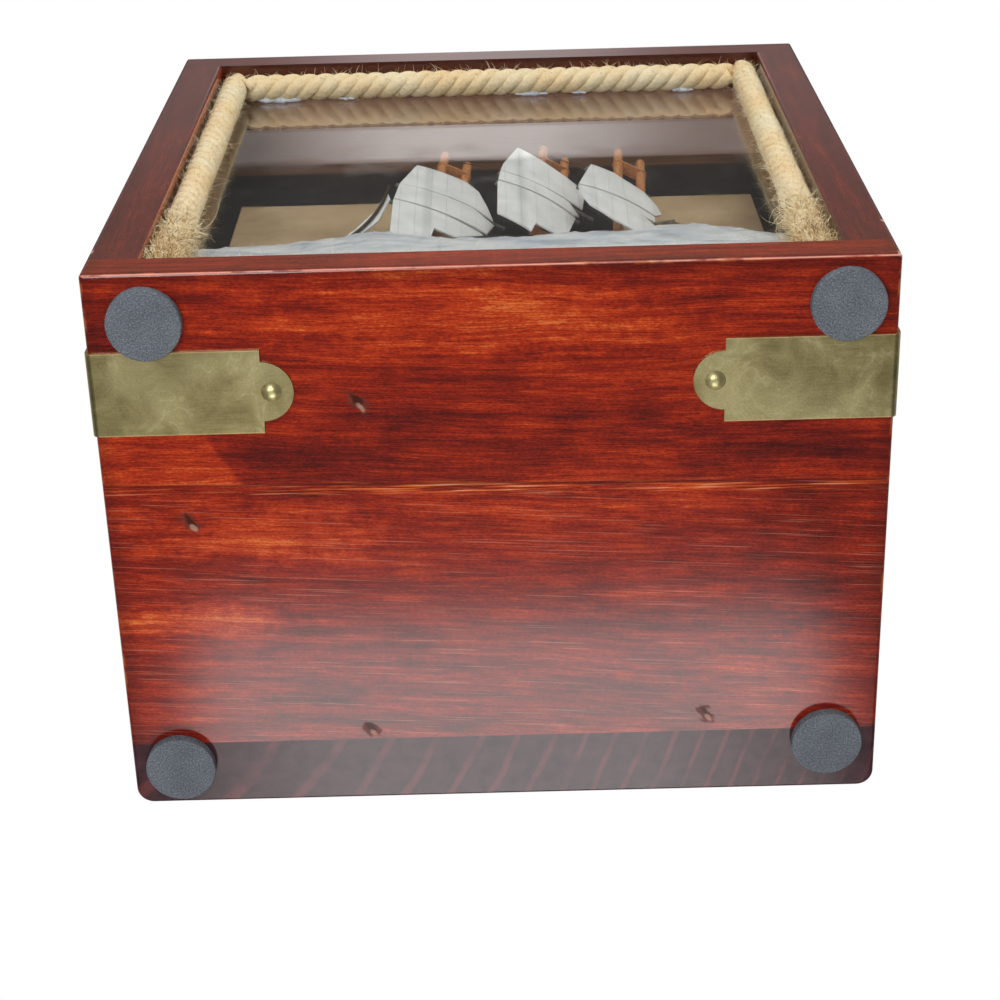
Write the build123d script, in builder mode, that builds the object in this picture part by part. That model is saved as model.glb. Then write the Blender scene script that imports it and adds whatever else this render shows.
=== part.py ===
from build123d import *

import os
from math import cos, radians, sin

# Ditty box: a stained wooden case with a glazed ship diorama in its front and, behind the diorama, a
# keepsake compartment under a hinged lid.
# Frame: millimetres, +Z up, front towards -Y, origin at the centre of the base.

os.makedirs("parts", exist_ok=True)

# ---- driving dimensions ---------------------------------------------------------------------------

# wooden case, outside
WIDTH = 203.2
DEPTH = 154.4
HEIGHT = 216.4
SIDE_T = 13.0
BOTTOM_T = 11.5
TOP_T = 11.5
BACK_T = 19.0
FRONT_PLANK = 59.0          # depth of the bottom's front plank and of the fixed top board
LID_GAP = 0.4               # between the fixed top board and the lid
ARRIS = 1.0                 # rounding of the long outside edges
REAR_CORNER_R = 4.5
NOTCH_R = 10.0              # finger notch in the lid

# foot pads: centres from the left and the front of the underside, as stuck on by hand
PAD_DIA = 19.0
PAD_T = 3.2
PAD_CENTRES = {
    "foot_pad_front_left": (15.3, 12.6),
    "foot_pad_front_right": (190.2, 12.0),
    "foot_pad_rear_left": (13.2, 142.0),
    "foot_pad_rear_right": (189.6, 138.8),
}

# glazing, backing and rope, as depths behind the front
GLASS_SET = 11.0
GLASS_T = 2.0
PANEL_SET = 36.0
PANEL_T = 3.2
GROOVE_DEEP = 3.0
GROOVE_PLAY = 0.2
ROPE_DIA = 8.8
CARD_T = 0.8
CARD_TOP = 160.5                        # above the base
CARDS = {"chart_card": (22.0, 90.0), "chart_card_right": (140.0, 184.0)}   # from the case's left

# brass corner straps
STRAP_W = 22.6
STRAP_T = 0.7
STRAP_SET = 32.0            # centre line behind the front
STRAP_STRAIGHT = 43.2
TAB_R = 8.0
NAIL_SET = 45.6             # nail from the corner, along the strap
NAIL_HEAD_R = 2.6
NAIL_HEAD_H = 1.3
NAIL_R = 0.8
NAIL_LONG = 9.0

# butt hinges
HINGE_X = 62.0              # from the middle
HINGE_L = 38.0
KNUCKLES = 5
KNUCKLE_R = 2.4
KNUCKLE_PLAY = 0.3
LEAF_T = 1.0
LEAF_SUNK = 0.2             # leaf face below the wood
LEAF_DEEP = 12.0            # leaf into the wood from the rear face
PIN_R = 1.2
PIN_PLAY = 0.05
SCREW_SPACING = 13.0
SCREW_HEAD_R = 2.3
SCREW_R = 1.1
SCREW_LONG = 8.5

# ship, in its own tilted frame: u towards the stern, v towards the back, w up the masts
SHIP_X = 14.5               # ship's frame from the case's middle
SHIP_SET = 27.0             # ship's centre line behind the front
SHIP_Z = 86.7               # deck above the base
HEEL = 3.0                  # masts leaning to the glass
PITCH = 3.2                 # bow lifted by the sea
HALF_BEAM = 4.2
BOW_U, STERN_U = -46.0, 37.0
DECK_T = 0.6
POLE_R = 1.45
POLE_GAP = 7.7              # between the two poles of a mast
YARD_R = 0.65
SAIL_T = 0.5
BELLY = 1.5
TOP_W = 9.0                 # platform that the topmast stands on
CAP_DROP = 12.0             # cap that ties the two poles, below their heads
# mast: u of the pair's middle, head, and how far the yards are swung aft on the far side
MASTS = {"fore": (-29.7, 76.6, 24.0), "main": (1.2, 80.7, 28.0), "mizzen": (25.1, 77.6, 26.0)}
# yards of a mast: height, then the two ends along the yard from the pair's middle
YARDS = {
    "fore": [(49.0, -13.5, 5.0), (31.2, -17.2, 18.0), (16.9, -17.6, 13.5)],
    "main": [(56.8, -15.0, 11.0), (35.5, -18.6, 13.5), (27.2, -18.8, 8.8)],
    "mizzen": [(43.8, -15.8, 5.5), (25.2, -18.4, 4.6)],
}
# sails of a mast: corners along the yard and up the mast, from the head round by the far side
SAILS = {
    "fore": [
        [(-12.5, 48.8), (3.0, 49.3), (7.8, 46.6), (11.4, 38.3), (13.8, 31.0), (6.5, 32.2), (-16.2, 30.6)],
        [(-16.2, 30.2), (6.5, 31.5), (14.4, 27.4), (12.4, 18.3), (-16.8, 17.7)],
        [(-16.9, 16.6), (12.2, 16.6), (11.6, 4.0), (-3.6, 4.0), (-4.4, -8.0), (-15.6, -8.0)],
    ],
    "main": [
        [(-14.0, 59.6), (-2.7, 55.2), (9.8, 51.4), (9.3, 36.6), (4.3, 35.8), (-18.2, 36.0),
         (-17.6, 42.5)],
        [(-18.2, 35.4), (4.3, 35.0), (8.3, 29.6), (6.6, 28.0), (-18.4, 28.0)],
        [(-18.5, 26.6), (7.2, 26.6), (4.4, 8.0), (4.0, 4.0), (-6.0, 4.0), (-7.0, -3.0),
         (-17.4, 1.5)],
    ],
    "mizzen": [
        [(-14.9, 44.3), (-7.4, 43.4), (-4.7, 41.6), (2.7, 39.4), (7.0, 35.1), (9.0, 30.4), (6.6, 25.8),
         (-18.2, 25.6)],
        [(-18.2, 24.4), (6.3, 24.4), (6.4, 20.4), (2.6, 19.3), (8.6, 16.0), (8.0, 4.0), (-0.5, 4.0),
         (-7.3, 5.4), (-14.5, 10.8), (-17.6, 18.0)],
    ],
}
# jib, spanker and the spanker's two spars, along and up the ship's middle
JIB = [(-60.5, -1.5), (-55.0, 12.0), (-50.6, 27.0), (-48.6, 44.0), (-47.0, 37.0), (-48.8, 19.0),
       (-54.0, 5.0)]
JIB_V = -1.8
SPANKER = [(29.6, 13.5), (29.6, 22.6), (36.0, 26.6), (39.5, 25.2), (42.6, 14.6)]
BOOM = (12.4, 0.06, 14.6)   # height on the mast, rise and length
GAFF = (23.6, 0.42, 9.0)

# sea: stations across the case, from its left, with the height of the ledge in front of the ship
SEA_STATIONS = [(13.0, 70.0), (33.0, 73.4), (47.0, 76.0), (58.5, 79.8), (69.5, 85.4), (80.0, 79.0),
                (92.0, 76.6), (110.0, 76.4), (126.0, 80.2), (142.0, 80.2), (154.0, 85.6),
                (164.0, 83.9), (178.0, 74.8), (190.2, 69.0)]
SEA_LOW = 24.0
SEA_SET = 14.0              # foot of the sea behind the front
LEDGE_SET = 20.0            # ledge's edge behind the front
SEA_RISE = 3.0              # from the ledge to the back

# ---- derived places -------------------------------------------------------------------------------

HINGE_OUT = 2 * KNUCKLE_R + 0.1
FRONT = -(DEPTH + HINGE_OUT) / 2
REAR = FRONT + DEPTH
LEFT = -WIDTH / 2
Z_BASE = PAD_T
Z_FLOOR = Z_BASE + BOTTOM_T
Z_TOP = Z_BASE + HEIGHT
Z_PART = Z_TOP - TOP_T
INNER_W = WIDTH - 2 * SIDE_T
BACK_FACE = REAR - BACK_T
AXIS_Y = REAR + HINGE_OUT - KNUCKLE_R
GLASS_BACK = FRONT + GLASS_SET + GLASS_T
CARD_FACE = FRONT + PANEL_SET - CARD_T
GROOVES = [(FRONT + GLASS_SET, GLASS_T), (FRONT + PANEL_SET, PANEL_T)]


def save(builder, name):
    """Label a finished piece and write it to its own file."""
    builder.part.label = name
    export_step(builder.part, f"parts/{name}.step")


def block(x0, x1, y0, y1, z0, z1, mode=Mode.ADD):
    """An upright block between two corners, in the builder that is open."""
    centre = Location(((x0 + x1) / 2, (y0 + y1) / 2, (z0 + z1) / 2))
    with Locations(centre):
        Box(x1 - x0, y1 - y0, z1 - z0, mode=mode)


def cut_grooves(x0, x1, z0, z1):
    """Grooves for the glass and the backing panel, across the board that is open."""
    for y0, thick in GROOVES:
        block(x0, x1, y0, y0 + thick + GROOVE_PLAY, z0, z1, mode=Mode.SUBTRACT)


# ---- fasteners: one of each, used again by every board and strap ----------------------------------

with BuildPart() as nail:
    with BuildSketch(Plane.XZ):
        with BuildLine():
            ThreePointArc((0, NAIL_HEAD_H), (NAIL_HEAD_R * 0.7, NAIL_HEAD_H * 0.62), (NAIL_HEAD_R, 0))
            Polyline((NAIL_HEAD_R, 0), (NAIL_R, 0), (NAIL_R, -NAIL_LONG + 1.5), (0, -NAIL_LONG))
            Line((0, -NAIL_LONG), (0, NAIL_HEAD_H))
        make_face()
    revolve(axis=Axis.Z)

with BuildPart() as screw:
    with BuildSketch(Plane.XZ):
        with BuildLine():
            Polyline((0, 0), (SCREW_HEAD_R, 0), (SCREW_R, SCREW_R - SCREW_HEAD_R),
                     (SCREW_R, -SCREW_LONG + 2), (0, -SCREW_LONG), close=True)
        make_face()
    revolve(axis=Axis.Z)

# strap corners: side of the case, then -1 at the bottom or +1 at the top
STRAPS = {
    "strap_bottom_left": (-1, -1),
    "strap_bottom_right": (1, -1),
    "strap_top_left": (-1, 1),
    "strap_top_right": (1, 1),
}


def strap_faces(side, level):
    """The planes of a strap's two legs: x away from the corner, z out of the wood."""
    corner = (side * WIDTH / 2, FRONT + STRAP_SET, Z_BASE if level < 0 else Z_TOP)
    flat = Plane(origin=corner, x_dir=(-side, 0, 0), z_dir=(0, 0, level))
    upright = Plane(origin=corner, x_dir=(0, 0, -level), z_dir=(side, 0, 0))
    return flat, upright


def nail_place(face):
    """Where a strap's nail sits: its head on the brass."""
    return Plane(origin=face.from_local_coords((NAIL_SET, 0, STRAP_T)), x_dir=face.x_dir,
                 z_dir=face.z_dir)


NAIL_PLACES = {name: [nail_place(face) for face in strap_faces(*corner)]
               for name, corner in STRAPS.items()}


def drive_nails(places):
    """Sink the nails' holes into the board or strap that is open."""
    for place in places:
        with Locations(place.location):
            add(nail.part, mode=Mode.SUBTRACT)


def screw_places(middle, z, up):
    """Heads of one leaf's screws, in a row along the hinge, facing up or down."""
    y = REAR - LEAF_DEEP * 0.55
    return [Plane(origin=(middle + i * SCREW_SPACING, y, z), x_dir=(1, 0, 0), z_dir=(0, 0, up))
            for i in (-1, 0, 1)]


FIXED_LEAF_TOP = Z_PART - LEAF_SUNK
LID_LEAF_BOTTOM = Z_PART + LEAF_SUNK
CASE_SCREWS = [p for side in (-1, 1) for p in screw_places(side * HINGE_X, FIXED_LEAF_TOP, 1)]
LID_SCREWS = [p for side in (-1, 1) for p in screw_places(side * HINGE_X, LID_LEAF_BOTTOM, -1)]


def drive_screws(places):
    """Sink the screws' holes into the board or leaf that is open."""
    for place in places:
        with Locations(place.location):
            add(screw.part, mode=Mode.SUBTRACT)


# ---- case -----------------------------------------------------------------------------------------

with BuildPart() as bottom_front_plank:
    block(LEFT, -LEFT, FRONT, FRONT + FRONT_PLANK, Z_BASE, Z_FLOOR)
    under = faces().sort_by(Axis.Z)[0].edges().sort_by(Axis.Y)[:-1]
    fillet(under + edges().filter_by(Axis.Z).group_by(Axis.Y)[0], ARRIS)
    groove_end = INNER_W / 2 + GROOVE_DEEP
    cut_grooves(-groove_end, groove_end, Z_FLOOR - GROOVE_DEEP, Z_FLOOR)
    drive_nails([NAIL_PLACES["strap_bottom_left"][0], NAIL_PLACES["strap_bottom_right"][0]])
save(bottom_front_plank, "bottom_front_plank")

with BuildPart() as bottom_rear_plank:
    block(LEFT, -LEFT, FRONT + FRONT_PLANK, BACK_FACE, Z_BASE, Z_FLOOR)
    fillet(edges().filter_by(Axis.Y).group_by(Axis.Z)[0], ARRIS)
save(bottom_rear_plank, "bottom_rear_plank")

for name, side, corners in (("left_side", -1, ("strap_bottom_left", "strap_top_left")),
                            ("right_side", 1, ("strap_bottom_right", "strap_top_right"))):
    outer, inner = side * WIDTH / 2, side * INNER_W / 2
    with BuildPart() as case_side:
        block(min(outer, inner), max(outer, inner), FRONT, BACK_FACE, Z_FLOOR, Z_PART)
        fillet(edges().filter_by(Axis.Z).group_by(Axis.Y)[0], ARRIS)
        bed = inner + side * GROOVE_DEEP
        cut_grooves(min(bed, inner), max(bed, inner), Z_FLOOR, Z_PART)
        drive_nails([NAIL_PLACES[corner][1] for corner in corners])
    save(case_side, name)

with BuildPart() as back_board:
    block(LEFT, -LEFT, BACK_FACE, REAR, Z_BASE, Z_PART)
    fillet(edges().filter_by(Axis.Z).group_by(Axis.Y)[-1], REAR_CORNER_R)
    fillet(faces().sort_by(Axis.Z)[0].edges().sort_by(Axis.Y)[1:], ARRIS)
    for side in (-1, 1):
        middle = side * HINGE_X
        block(middle - HINGE_L / 2, middle + HINGE_L / 2, REAR - LEAF_DEEP, REAR,
              FIXED_LEAF_TOP - LEAF_T, Z_PART, mode=Mode.SUBTRACT)
    drive_screws(CASE_SCREWS)
save(back_board, "back_board")

with BuildPart() as top_front_board:
    block(LEFT, -LEFT, FRONT, FRONT + FRONT_PLANK, Z_PART, Z_TOP)
    above = faces().sort_by(Axis.Z)[-1].edges().sort_by(Axis.Y)[:-1]
    fillet(above + edges().filter_by(Axis.Z).group_by(Axis.Y)[0], ARRIS)
    cut_grooves(-groove_end, groove_end, Z_PART, Z_PART + GROOVE_DEEP)
    drive_nails([NAIL_PLACES["strap_top_left"][0], NAIL_PLACES["strap_top_right"][0]])
save(top_front_board, "top_front_board")

with BuildPart() as glass_pane:
    pane_half = groove_end - 0.5
    block(-pane_half, pane_half, FRONT + GLASS_SET, GLASS_BACK,
          Z_FLOOR - GROOVE_DEEP, Z_PART + GROOVE_DEEP - 0.5)
save(glass_pane, "glass_pane")

with BuildPart() as backing_panel:
    block(-pane_half, pane_half, FRONT + PANEL_SET, FRONT + PANEL_SET + PANEL_T,
          Z_FLOOR - GROOVE_DEEP, Z_PART + GROOVE_DEEP - 0.5)
save(backing_panel, "backing_panel")

for name, (card_from, card_to) in CARDS.items():
    with BuildPart() as chart_card:
        block(LEFT + card_from, LEFT + card_to, CARD_FACE, CARD_FACE + CARD_T, Z_FLOOR, CARD_TOP)
    save(chart_card, name)

# rope in the corners of the recess: full height at the sides, between them at the bottom and top
rope_y = FRONT + GLASS_SET - ROPE_DIA / 2
rope_x = INNER_W / 2 - ROPE_DIA / 2
opening_h = Z_PART - Z_FLOOR
for name, side in (("rope_left", -1), ("rope_right", 1)):
    with BuildPart() as upright_rope:
        with BuildSketch(Plane.XY.offset(Z_FLOOR)):
            with Locations((side * rope_x, rope_y)):
                Circle(ROPE_DIA / 2)
        extrude(amount=opening_h)
    save(upright_rope, name)

for name, z in (("rope_bottom", Z_FLOOR + ROPE_DIA / 2), ("rope_top", Z_PART - ROPE_DIA / 2)):
    with BuildPart() as level_rope:
        with BuildSketch(Plane.YZ):
            with Locations((rope_y, z)):
                Circle(ROPE_DIA / 2)
        extrude(amount=INNER_W / 2 - ROPE_DIA, both=True)
    save(level_rope, name)

for name, (from_left, from_front) in PAD_CENTRES.items():
    with BuildPart() as foot_pad:
        with BuildSketch(Plane.XY):
            with Locations((LEFT + from_left, FRONT + from_front)):
                Circle(PAD_DIA / 2)
        extrude(amount=PAD_T)
        # the front pads lie partly on a strap, which presses into them
        for corner in ("strap_bottom_left", "strap_bottom_right"):
            with BuildSketch(strap_faces(*STRAPS[corner])[0]):
                with Locations((STRAP_STRAIGHT / 2, 0)):
                    Rectangle(STRAP_STRAIGHT, STRAP_W)
            extrude(amount=STRAP_T, mode=Mode.SUBTRACT)
    save(foot_pad, name)

# ---- brass straps and their nails -----------------------------------------------------------------

strap_reach = STRAP_STRAIGHT + TAB_R
for name, (side, level) in STRAPS.items():
    flat, upright = strap_faces(side, level)
    bend_plane = Plane(origin=flat.origin, x_dir=(-side, 0, 0), z_dir=(0, -side * level, 0))
    with BuildPart() as strap:
        with BuildSketch(bend_plane):
            with BuildLine():
                Polyline((-STRAP_T, -STRAP_T), (strap_reach, -STRAP_T), (strap_reach, 0), (0, 0),
                         (0, strap_reach), (-STRAP_T, strap_reach), close=True)
            make_face()
            corner = vertices().sort_by_distance((-STRAP_T, -STRAP_T, 0))
            fillet(corner[0], ARRIS + STRAP_T)
            fillet(vertices().sort_by_distance((0, 0, 0))[0], ARRIS)
        extrude(amount=STRAP_W / 2, both=True)
        for face in (flat, upright):
            # square shoulders, then a round tab
            with BuildSketch(face):
                with Locations((STRAP_STRAIGHT + TAB_R, 0)):
                    Rectangle(2 * TAB_R, STRAP_W + 2)
                with Locations((STRAP_STRAIGHT, 0)):
                    Circle(TAB_R, mode=Mode.SUBTRACT)
            extrude(amount=2 * STRAP_T, both=True, mode=Mode.SUBTRACT)
        drive_nails(NAIL_PLACES[name])
    save(strap, name)

with BuildPart() as strap_nails:
    for places in NAIL_PLACES.values():
        for place in places:
            with Locations(place.location):
                add(nail.part)
save(strap_nails, "strap_nails")

# ---- lid and hinges -------------------------------------------------------------------------------

lid_front = FRONT + FRONT_PLANK + LID_GAP
with BuildPart() as lid_board:
    block(LEFT, -LEFT, lid_front, REAR, Z_PART, Z_TOP)
    fillet(edges().filter_by(Axis.Z).group_by(Axis.Y)[-1], REAR_CORNER_R)
    fillet(faces().sort_by(Axis.Z)[-1].edges().sort_by(Axis.Y)[1:], ARRIS)
    with BuildSketch(Plane.XY.offset(Z_PART)):
        with Locations((0, lid_front)):
            Circle(NOTCH_R)
    extrude(amount=TOP_T, mode=Mode.SUBTRACT)
    for side in (-1, 1):
        middle = side * HINGE_X
        block(middle - HINGE_L / 2, middle + HINGE_L / 2, REAR - LEAF_DEEP, REAR,
              Z_PART, LID_LEAF_BOTTOM + LEAF_T, mode=Mode.SUBTRACT)
    drive_screws(LID_SCREWS)
save(lid_board, "lid_board")

knuckle_step = HINGE_L / KNUCKLES


def knuckle_spans(middle, on_lid):
    """The stretches of the barrel that belong to one leaf, as start and length."""
    first = middle - HINGE_L / 2
    picked = range(1, KNUCKLES, 2) if on_lid else range(0, KNUCKLES, 2)
    spans = []
    for i in picked:
        start = first + i * knuckle_step + (KNUCKLE_PLAY / 2 if i else 0)
        end = first + (i + 1) * knuckle_step - (KNUCKLE_PLAY / 2 if i < KNUCKLES - 1 else 0)
        spans.append((start, end - start))
    return spans


for hand, side in (("left", -1), ("right", 1)):
    middle = side * HINGE_X
    for kind, on_lid in (("case", False), ("lid", True)):
        low = LID_LEAF_BOTTOM if on_lid else FIXED_LEAF_TOP - LEAF_T
        with BuildPart() as leaf:
            block(middle - HINGE_L / 2, middle + HINGE_L / 2, REAR - LEAF_DEEP, AXIS_Y,
                  low, low + LEAF_T)
            # room for the other leaf's knuckles
            for start, length in knuckle_spans(middle, not on_lid):
                block(start - KNUCKLE_PLAY, start + length + KNUCKLE_PLAY,
                      AXIS_Y - KNUCKLE_R - KNUCKLE_PLAY, AXIS_Y + 1,
                      Z_PART - KNUCKLE_R, Z_PART + KNUCKLE_R, mode=Mode.SUBTRACT)
            for start, length in knuckle_spans(middle, on_lid):
                with BuildSketch(Plane.YZ.offset(start)):
                    with Locations((AXIS_Y, Z_PART)):
                        Circle(KNUCKLE_R)
                extrude(amount=length)
            with BuildSketch(Plane.YZ.offset(middle)):
                with Locations((AXIS_Y, Z_PART)):
                    Circle(PIN_R + PIN_PLAY)
            extrude(amount=HINGE_L / 2, both=True, mode=Mode.SUBTRACT)
            drive_screws(LID_SCREWS if on_lid else CASE_SCREWS)
        save(leaf, f"hinge_{kind}_leaf_{hand}")
    with BuildPart() as pin:
        with BuildSketch(Plane.YZ.offset(middle)):
            with Locations((AXIS_Y, Z_PART)):
                Circle(PIN_R)
        extrude(amount=HINGE_L / 2, both=True)
        for end in (-1, 1):
            head_plane = Plane(origin=(middle + end * HINGE_L / 2, AXIS_Y, Z_PART),
                               x_dir=(0, 1, 0), z_dir=(end, 0, 0))
            with BuildSketch(head_plane):
                Circle(PIN_R * 1.6)
            extrude(amount=0.8, taper=25)
    save(pin, f"hinge_pin_{hand}")

for name, places in (("hinge_screws_case", CASE_SCREWS), ("hinge_screws_lid", LID_SCREWS)):
    with BuildPart() as screws:
        for place in places:
            with Locations(place.location):
                add(screw.part)
    save(screws, name)

# ---- ship -----------------------------------------------------------------------------------------

heel, pitch = radians(HEEL), radians(PITCH)
ship = Plane(origin=(SHIP_X, FRONT + SHIP_SET, SHIP_Z), x_dir=(cos(pitch), 0, -sin(pitch)),
             z_dir=(cos(heel) * sin(pitch), -sin(heel), cos(heel) * cos(pitch)))
beside = Plane(origin=ship.origin, x_dir=ship.x_dir, z_dir=-ship.y_dir)


def in_ship(u, v, w):
    """A point of the ship's frame, in the case's frame."""
    return ship.from_local_coords((u, v, w))


def level_plane(w):
    """The ship's deck plane, moved up by w."""
    return Plane(origin=in_ship(0, 0, w), x_dir=ship.x_dir, z_dir=ship.z_dir)


def deck_outline(inset):
    """Half-round bow, full body and narrower stern, drawn in the open line builder."""
    bow, stern = BOW_U + 2 * inset, STERN_U - inset
    beam, transom = HALF_BEAM - inset, HALF_BEAM * 0.8 - inset
    for hand in (-1, 1):
        ThreePointArc((bow, 0), (bow * 0.55, hand * beam * 0.86), (0, hand * beam))
        ThreePointArc((0, hand * beam), (stern * 0.6, hand * beam * 0.96), (stern, hand * transom))
    Line((stern, -transom), (stern, transom))


with BuildPart() as bowsprit:
    stem, tip = in_ship(BOW_U + 6, 0, 1.2), in_ship(BOW_U - 15, 0, 4)
    with BuildSketch(Plane(origin=stem, z_dir=tip - stem)):
        Circle(YARD_R)
    extrude(amount=(tip - stem).length)
save(bowsprit, "bowsprit")

with BuildPart() as ship_hull:
    with BuildSketch(level_plane(-12)):
        with BuildLine():
            deck_outline(0)
        make_face()
    extrude(amount=17)
    # sheer rising to the stern, raked stem and sternpost
    with BuildSketch(beside):
        with BuildLine():
            ThreePointArc((BOW_U - 2, 3.8), (-4, 1.4), (STERN_U + 2, 4.4))
            Polyline((STERN_U + 2, 4.4), (STERN_U - 3, -11), (BOW_U + 6, -11), (BOW_U - 2, 3.8))
        make_face()
    extrude(amount=2 * HALF_BEAM, both=True, mode=Mode.INTERSECT)
    with BuildSketch(level_plane(-DECK_T)):
        with BuildLine():
            deck_outline(0.8)
        make_face()
    extrude(amount=8, mode=Mode.SUBTRACT)
    add(bowsprit.part, mode=Mode.SUBTRACT)
save(ship_hull, "ship_hull")

with BuildPart() as ship_deck:
    with BuildSketch(level_plane(-DECK_T)):
        with BuildLine():
            deck_outline(0.8)
        make_face()
    extrude(amount=DECK_T)
    add(bowsprit.part, mode=Mode.SUBTRACT)
save(ship_deck, "ship_deck")

with BuildPart() as deck_houses:
    with BuildSketch(ship):
        for u, long in ((-14, 8), (13, 6)):
            with Locations((u, 0)):
                Rectangle(long, 3.4)
    extrude(amount=2.2)
save(deck_houses, "deck_houses")


def mast_plane(pair_u, swing):
    """A mast's own plane at the deck: x along its yards, y towards the back, z up the poles."""
    turn = radians(swing)
    along = in_ship(cos(turn), sin(turn), 0) - ship.origin
    return Plane(origin=in_ship(pair_u, 0, 0), x_dir=along, z_dir=ship.z_dir)


def square_sail(mast, corners):
    """A sheet bellied towards the glass in front of its yards, cut to its corners."""
    ends = [s for s, _ in corners]
    heights = [w for _, w in corners]
    first, last = min(ends), max(ends)
    middle, back = (first + last) / 2, -POLE_R - 2 * YARD_R
    with BuildPart() as sail:
        foot = Plane(origin=mast.from_local_coords((0, 0, min(heights))), x_dir=mast.x_dir,
                     z_dir=mast.z_dir)
        with BuildSketch(foot):
            with BuildLine():
                ThreePointArc((first, back), (middle, back - BELLY), (last, back))
                Line((last, back), (last, back - SAIL_T))
                ThreePointArc((last, back - SAIL_T), (middle, back - BELLY - SAIL_T),
                              (first, back - SAIL_T))
                Line((first, back - SAIL_T), (first, back))
            make_face()
        extrude(amount=max(heights) - min(heights))
        with BuildSketch(Plane(origin=mast.origin, x_dir=mast.x_dir, z_dir=-mast.y_dir)):
            with BuildLine():
                Polyline(*corners, close=True)
            make_face()
        extrude(amount=10, mode=Mode.INTERSECT)
    return sail.part


all_sails = {}
for mast, (pair_u, head, swing) in MASTS.items():
    stand = mast_plane(pair_u, swing)
    with BuildPart() as topmast:
        with BuildSketch(Plane(origin=stand.from_local_coords((-POLE_GAP / 2, 0, TOP_W)),
                               z_dir=stand.z_dir)):
            Circle(POLE_R)
        extrude(amount=head - TOP_W)
    save(topmast, f"{mast}_topmast")

    # lower mast with the platform that the topmast stands on and the cap that holds it
    with BuildPart() as lower_mast:
        with BuildSketch(Plane(origin=stand.from_local_coords((POLE_GAP / 2, 0, 0)),
                               z_dir=stand.z_dir)):
            Circle(POLE_R)
        extrude(amount=head - 1)
        for w in (TOP_W - 0.8, head - CAP_DROP):
            with BuildSketch(Plane(origin=stand.from_local_coords((0, 0, w)), x_dir=stand.x_dir,
                                   z_dir=stand.z_dir)):
                SlotOverall(POLE_GAP + 2 * POLE_R + 0.8, 2 * POLE_R + 0.8)
            extrude(amount=0.8)
        add(topmast.part, mode=Mode.SUBTRACT)
        # its foot is let into the bulwark
        add(ship_hull.part, mode=Mode.SUBTRACT)
    save(lower_mast, f"{mast}_lower_mast")

    with BuildPart() as yards:
        for w, start, end in YARDS[mast]:
            root = stand.from_local_coords((start, -POLE_R - YARD_R, w))
            with BuildSketch(Plane(origin=root, z_dir=stand.x_dir)):
                Circle(YARD_R)
            extrude(amount=end - start)
        # the yards touch the poles and the platforms, and give way to them
        add(lower_mast.part, mode=Mode.SUBTRACT)
        add(topmast.part, mode=Mode.SUBTRACT)
    save(yards, f"{mast}_yards")

    with BuildPart() as sails:
        for corners in SAILS[mast]:
            add(square_sail(stand, corners))
        add(yards.part, mode=Mode.SUBTRACT)
        add(ship_hull.part, mode=Mode.SUBTRACT)
    save(sails, f"{mast}_sails")
    all_sails[mast] = sails.part

with BuildPart() as head_sails:
    with BuildSketch(Plane(origin=in_ship(0, JIB_V, 0), x_dir=ship.x_dir, z_dir=-ship.y_dir)):
        with BuildLine():
            Polyline(*JIB, close=True)
        make_face()
    extrude(amount=SAIL_T)
save(head_sails, "head_sails")

# gaff sail behind the mizzen, with its boom and gaff
mizzen_pole = stand.from_local_coords((POLE_GAP / 2, 0, 0))
with BuildPart() as spanker_spars:
    for w, rise, long in (BOOM, GAFF):
        root = mizzen_pole + (in_ship(POLE_R, 0, w) - ship.origin)
        run = (in_ship(1, 0, rise) - ship.origin).normalized()
        with BuildSketch(Plane(origin=root, z_dir=run)):
            Circle(YARD_R * 0.8)
        extrude(amount=long)
    add(lower_mast.part, mode=Mode.SUBTRACT)
save(spanker_spars, "spanker_spars")

with BuildPart() as spanker_sail:
    sail_v = ship.to_local_coords(mizzen_pole).Y
    with BuildSketch(Plane(origin=in_ship(0, sail_v, 0), x_dir=ship.x_dir, z_dir=-ship.y_dir)):
        with BuildLine():
            Polyline(*SPANKER, close=True)
        make_face()
    extrude(amount=SAIL_T / 2, both=True)
    add(spanker_spars.part, mode=Mode.SUBTRACT)
    add(lower_mast.part, mode=Mode.SUBTRACT)
    add(sails.part, mode=Mode.SUBTRACT)
save(spanker_sail, "spanker_sail")

# ---- sea ------------------------------------------------------------------------------------------

with BuildPart() as sea:
    sea_y, ledge_y = FRONT + SEA_SET, FRONT + LEDGE_SET
    for from_left, ledge in SEA_STATIONS:
        back_z = ledge + SEA_RISE
        with BuildSketch(Plane.YZ.offset(LEFT + from_left)):
            with BuildLine():
                Bezier((sea_y, SEA_LOW), (sea_y + 1, SEA_LOW + 0.7 * (ledge - SEA_LOW)),
                       (ledge_y - 3, ledge - 2.5), (ledge_y, ledge))
                Polyline((ledge_y, ledge), (CARD_FACE, back_z), (CARD_FACE, Z_FLOOR),
                         (sea_y, Z_FLOOR), (sea_y, SEA_LOW))
            make_face()
    loft()
    # the hull lies in the sea
    with BuildSketch(level_plane(-11)):
        with BuildLine():
            deck_outline(0)
        make_face()
    extrude(amount=30, mode=Mode.SUBTRACT)
    for piece in (ship_hull.part, bowsprit.part, all_sails["fore"]):
        add(piece, mode=Mode.SUBTRACT)
save(sea, "sea")
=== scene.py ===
import math

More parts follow.
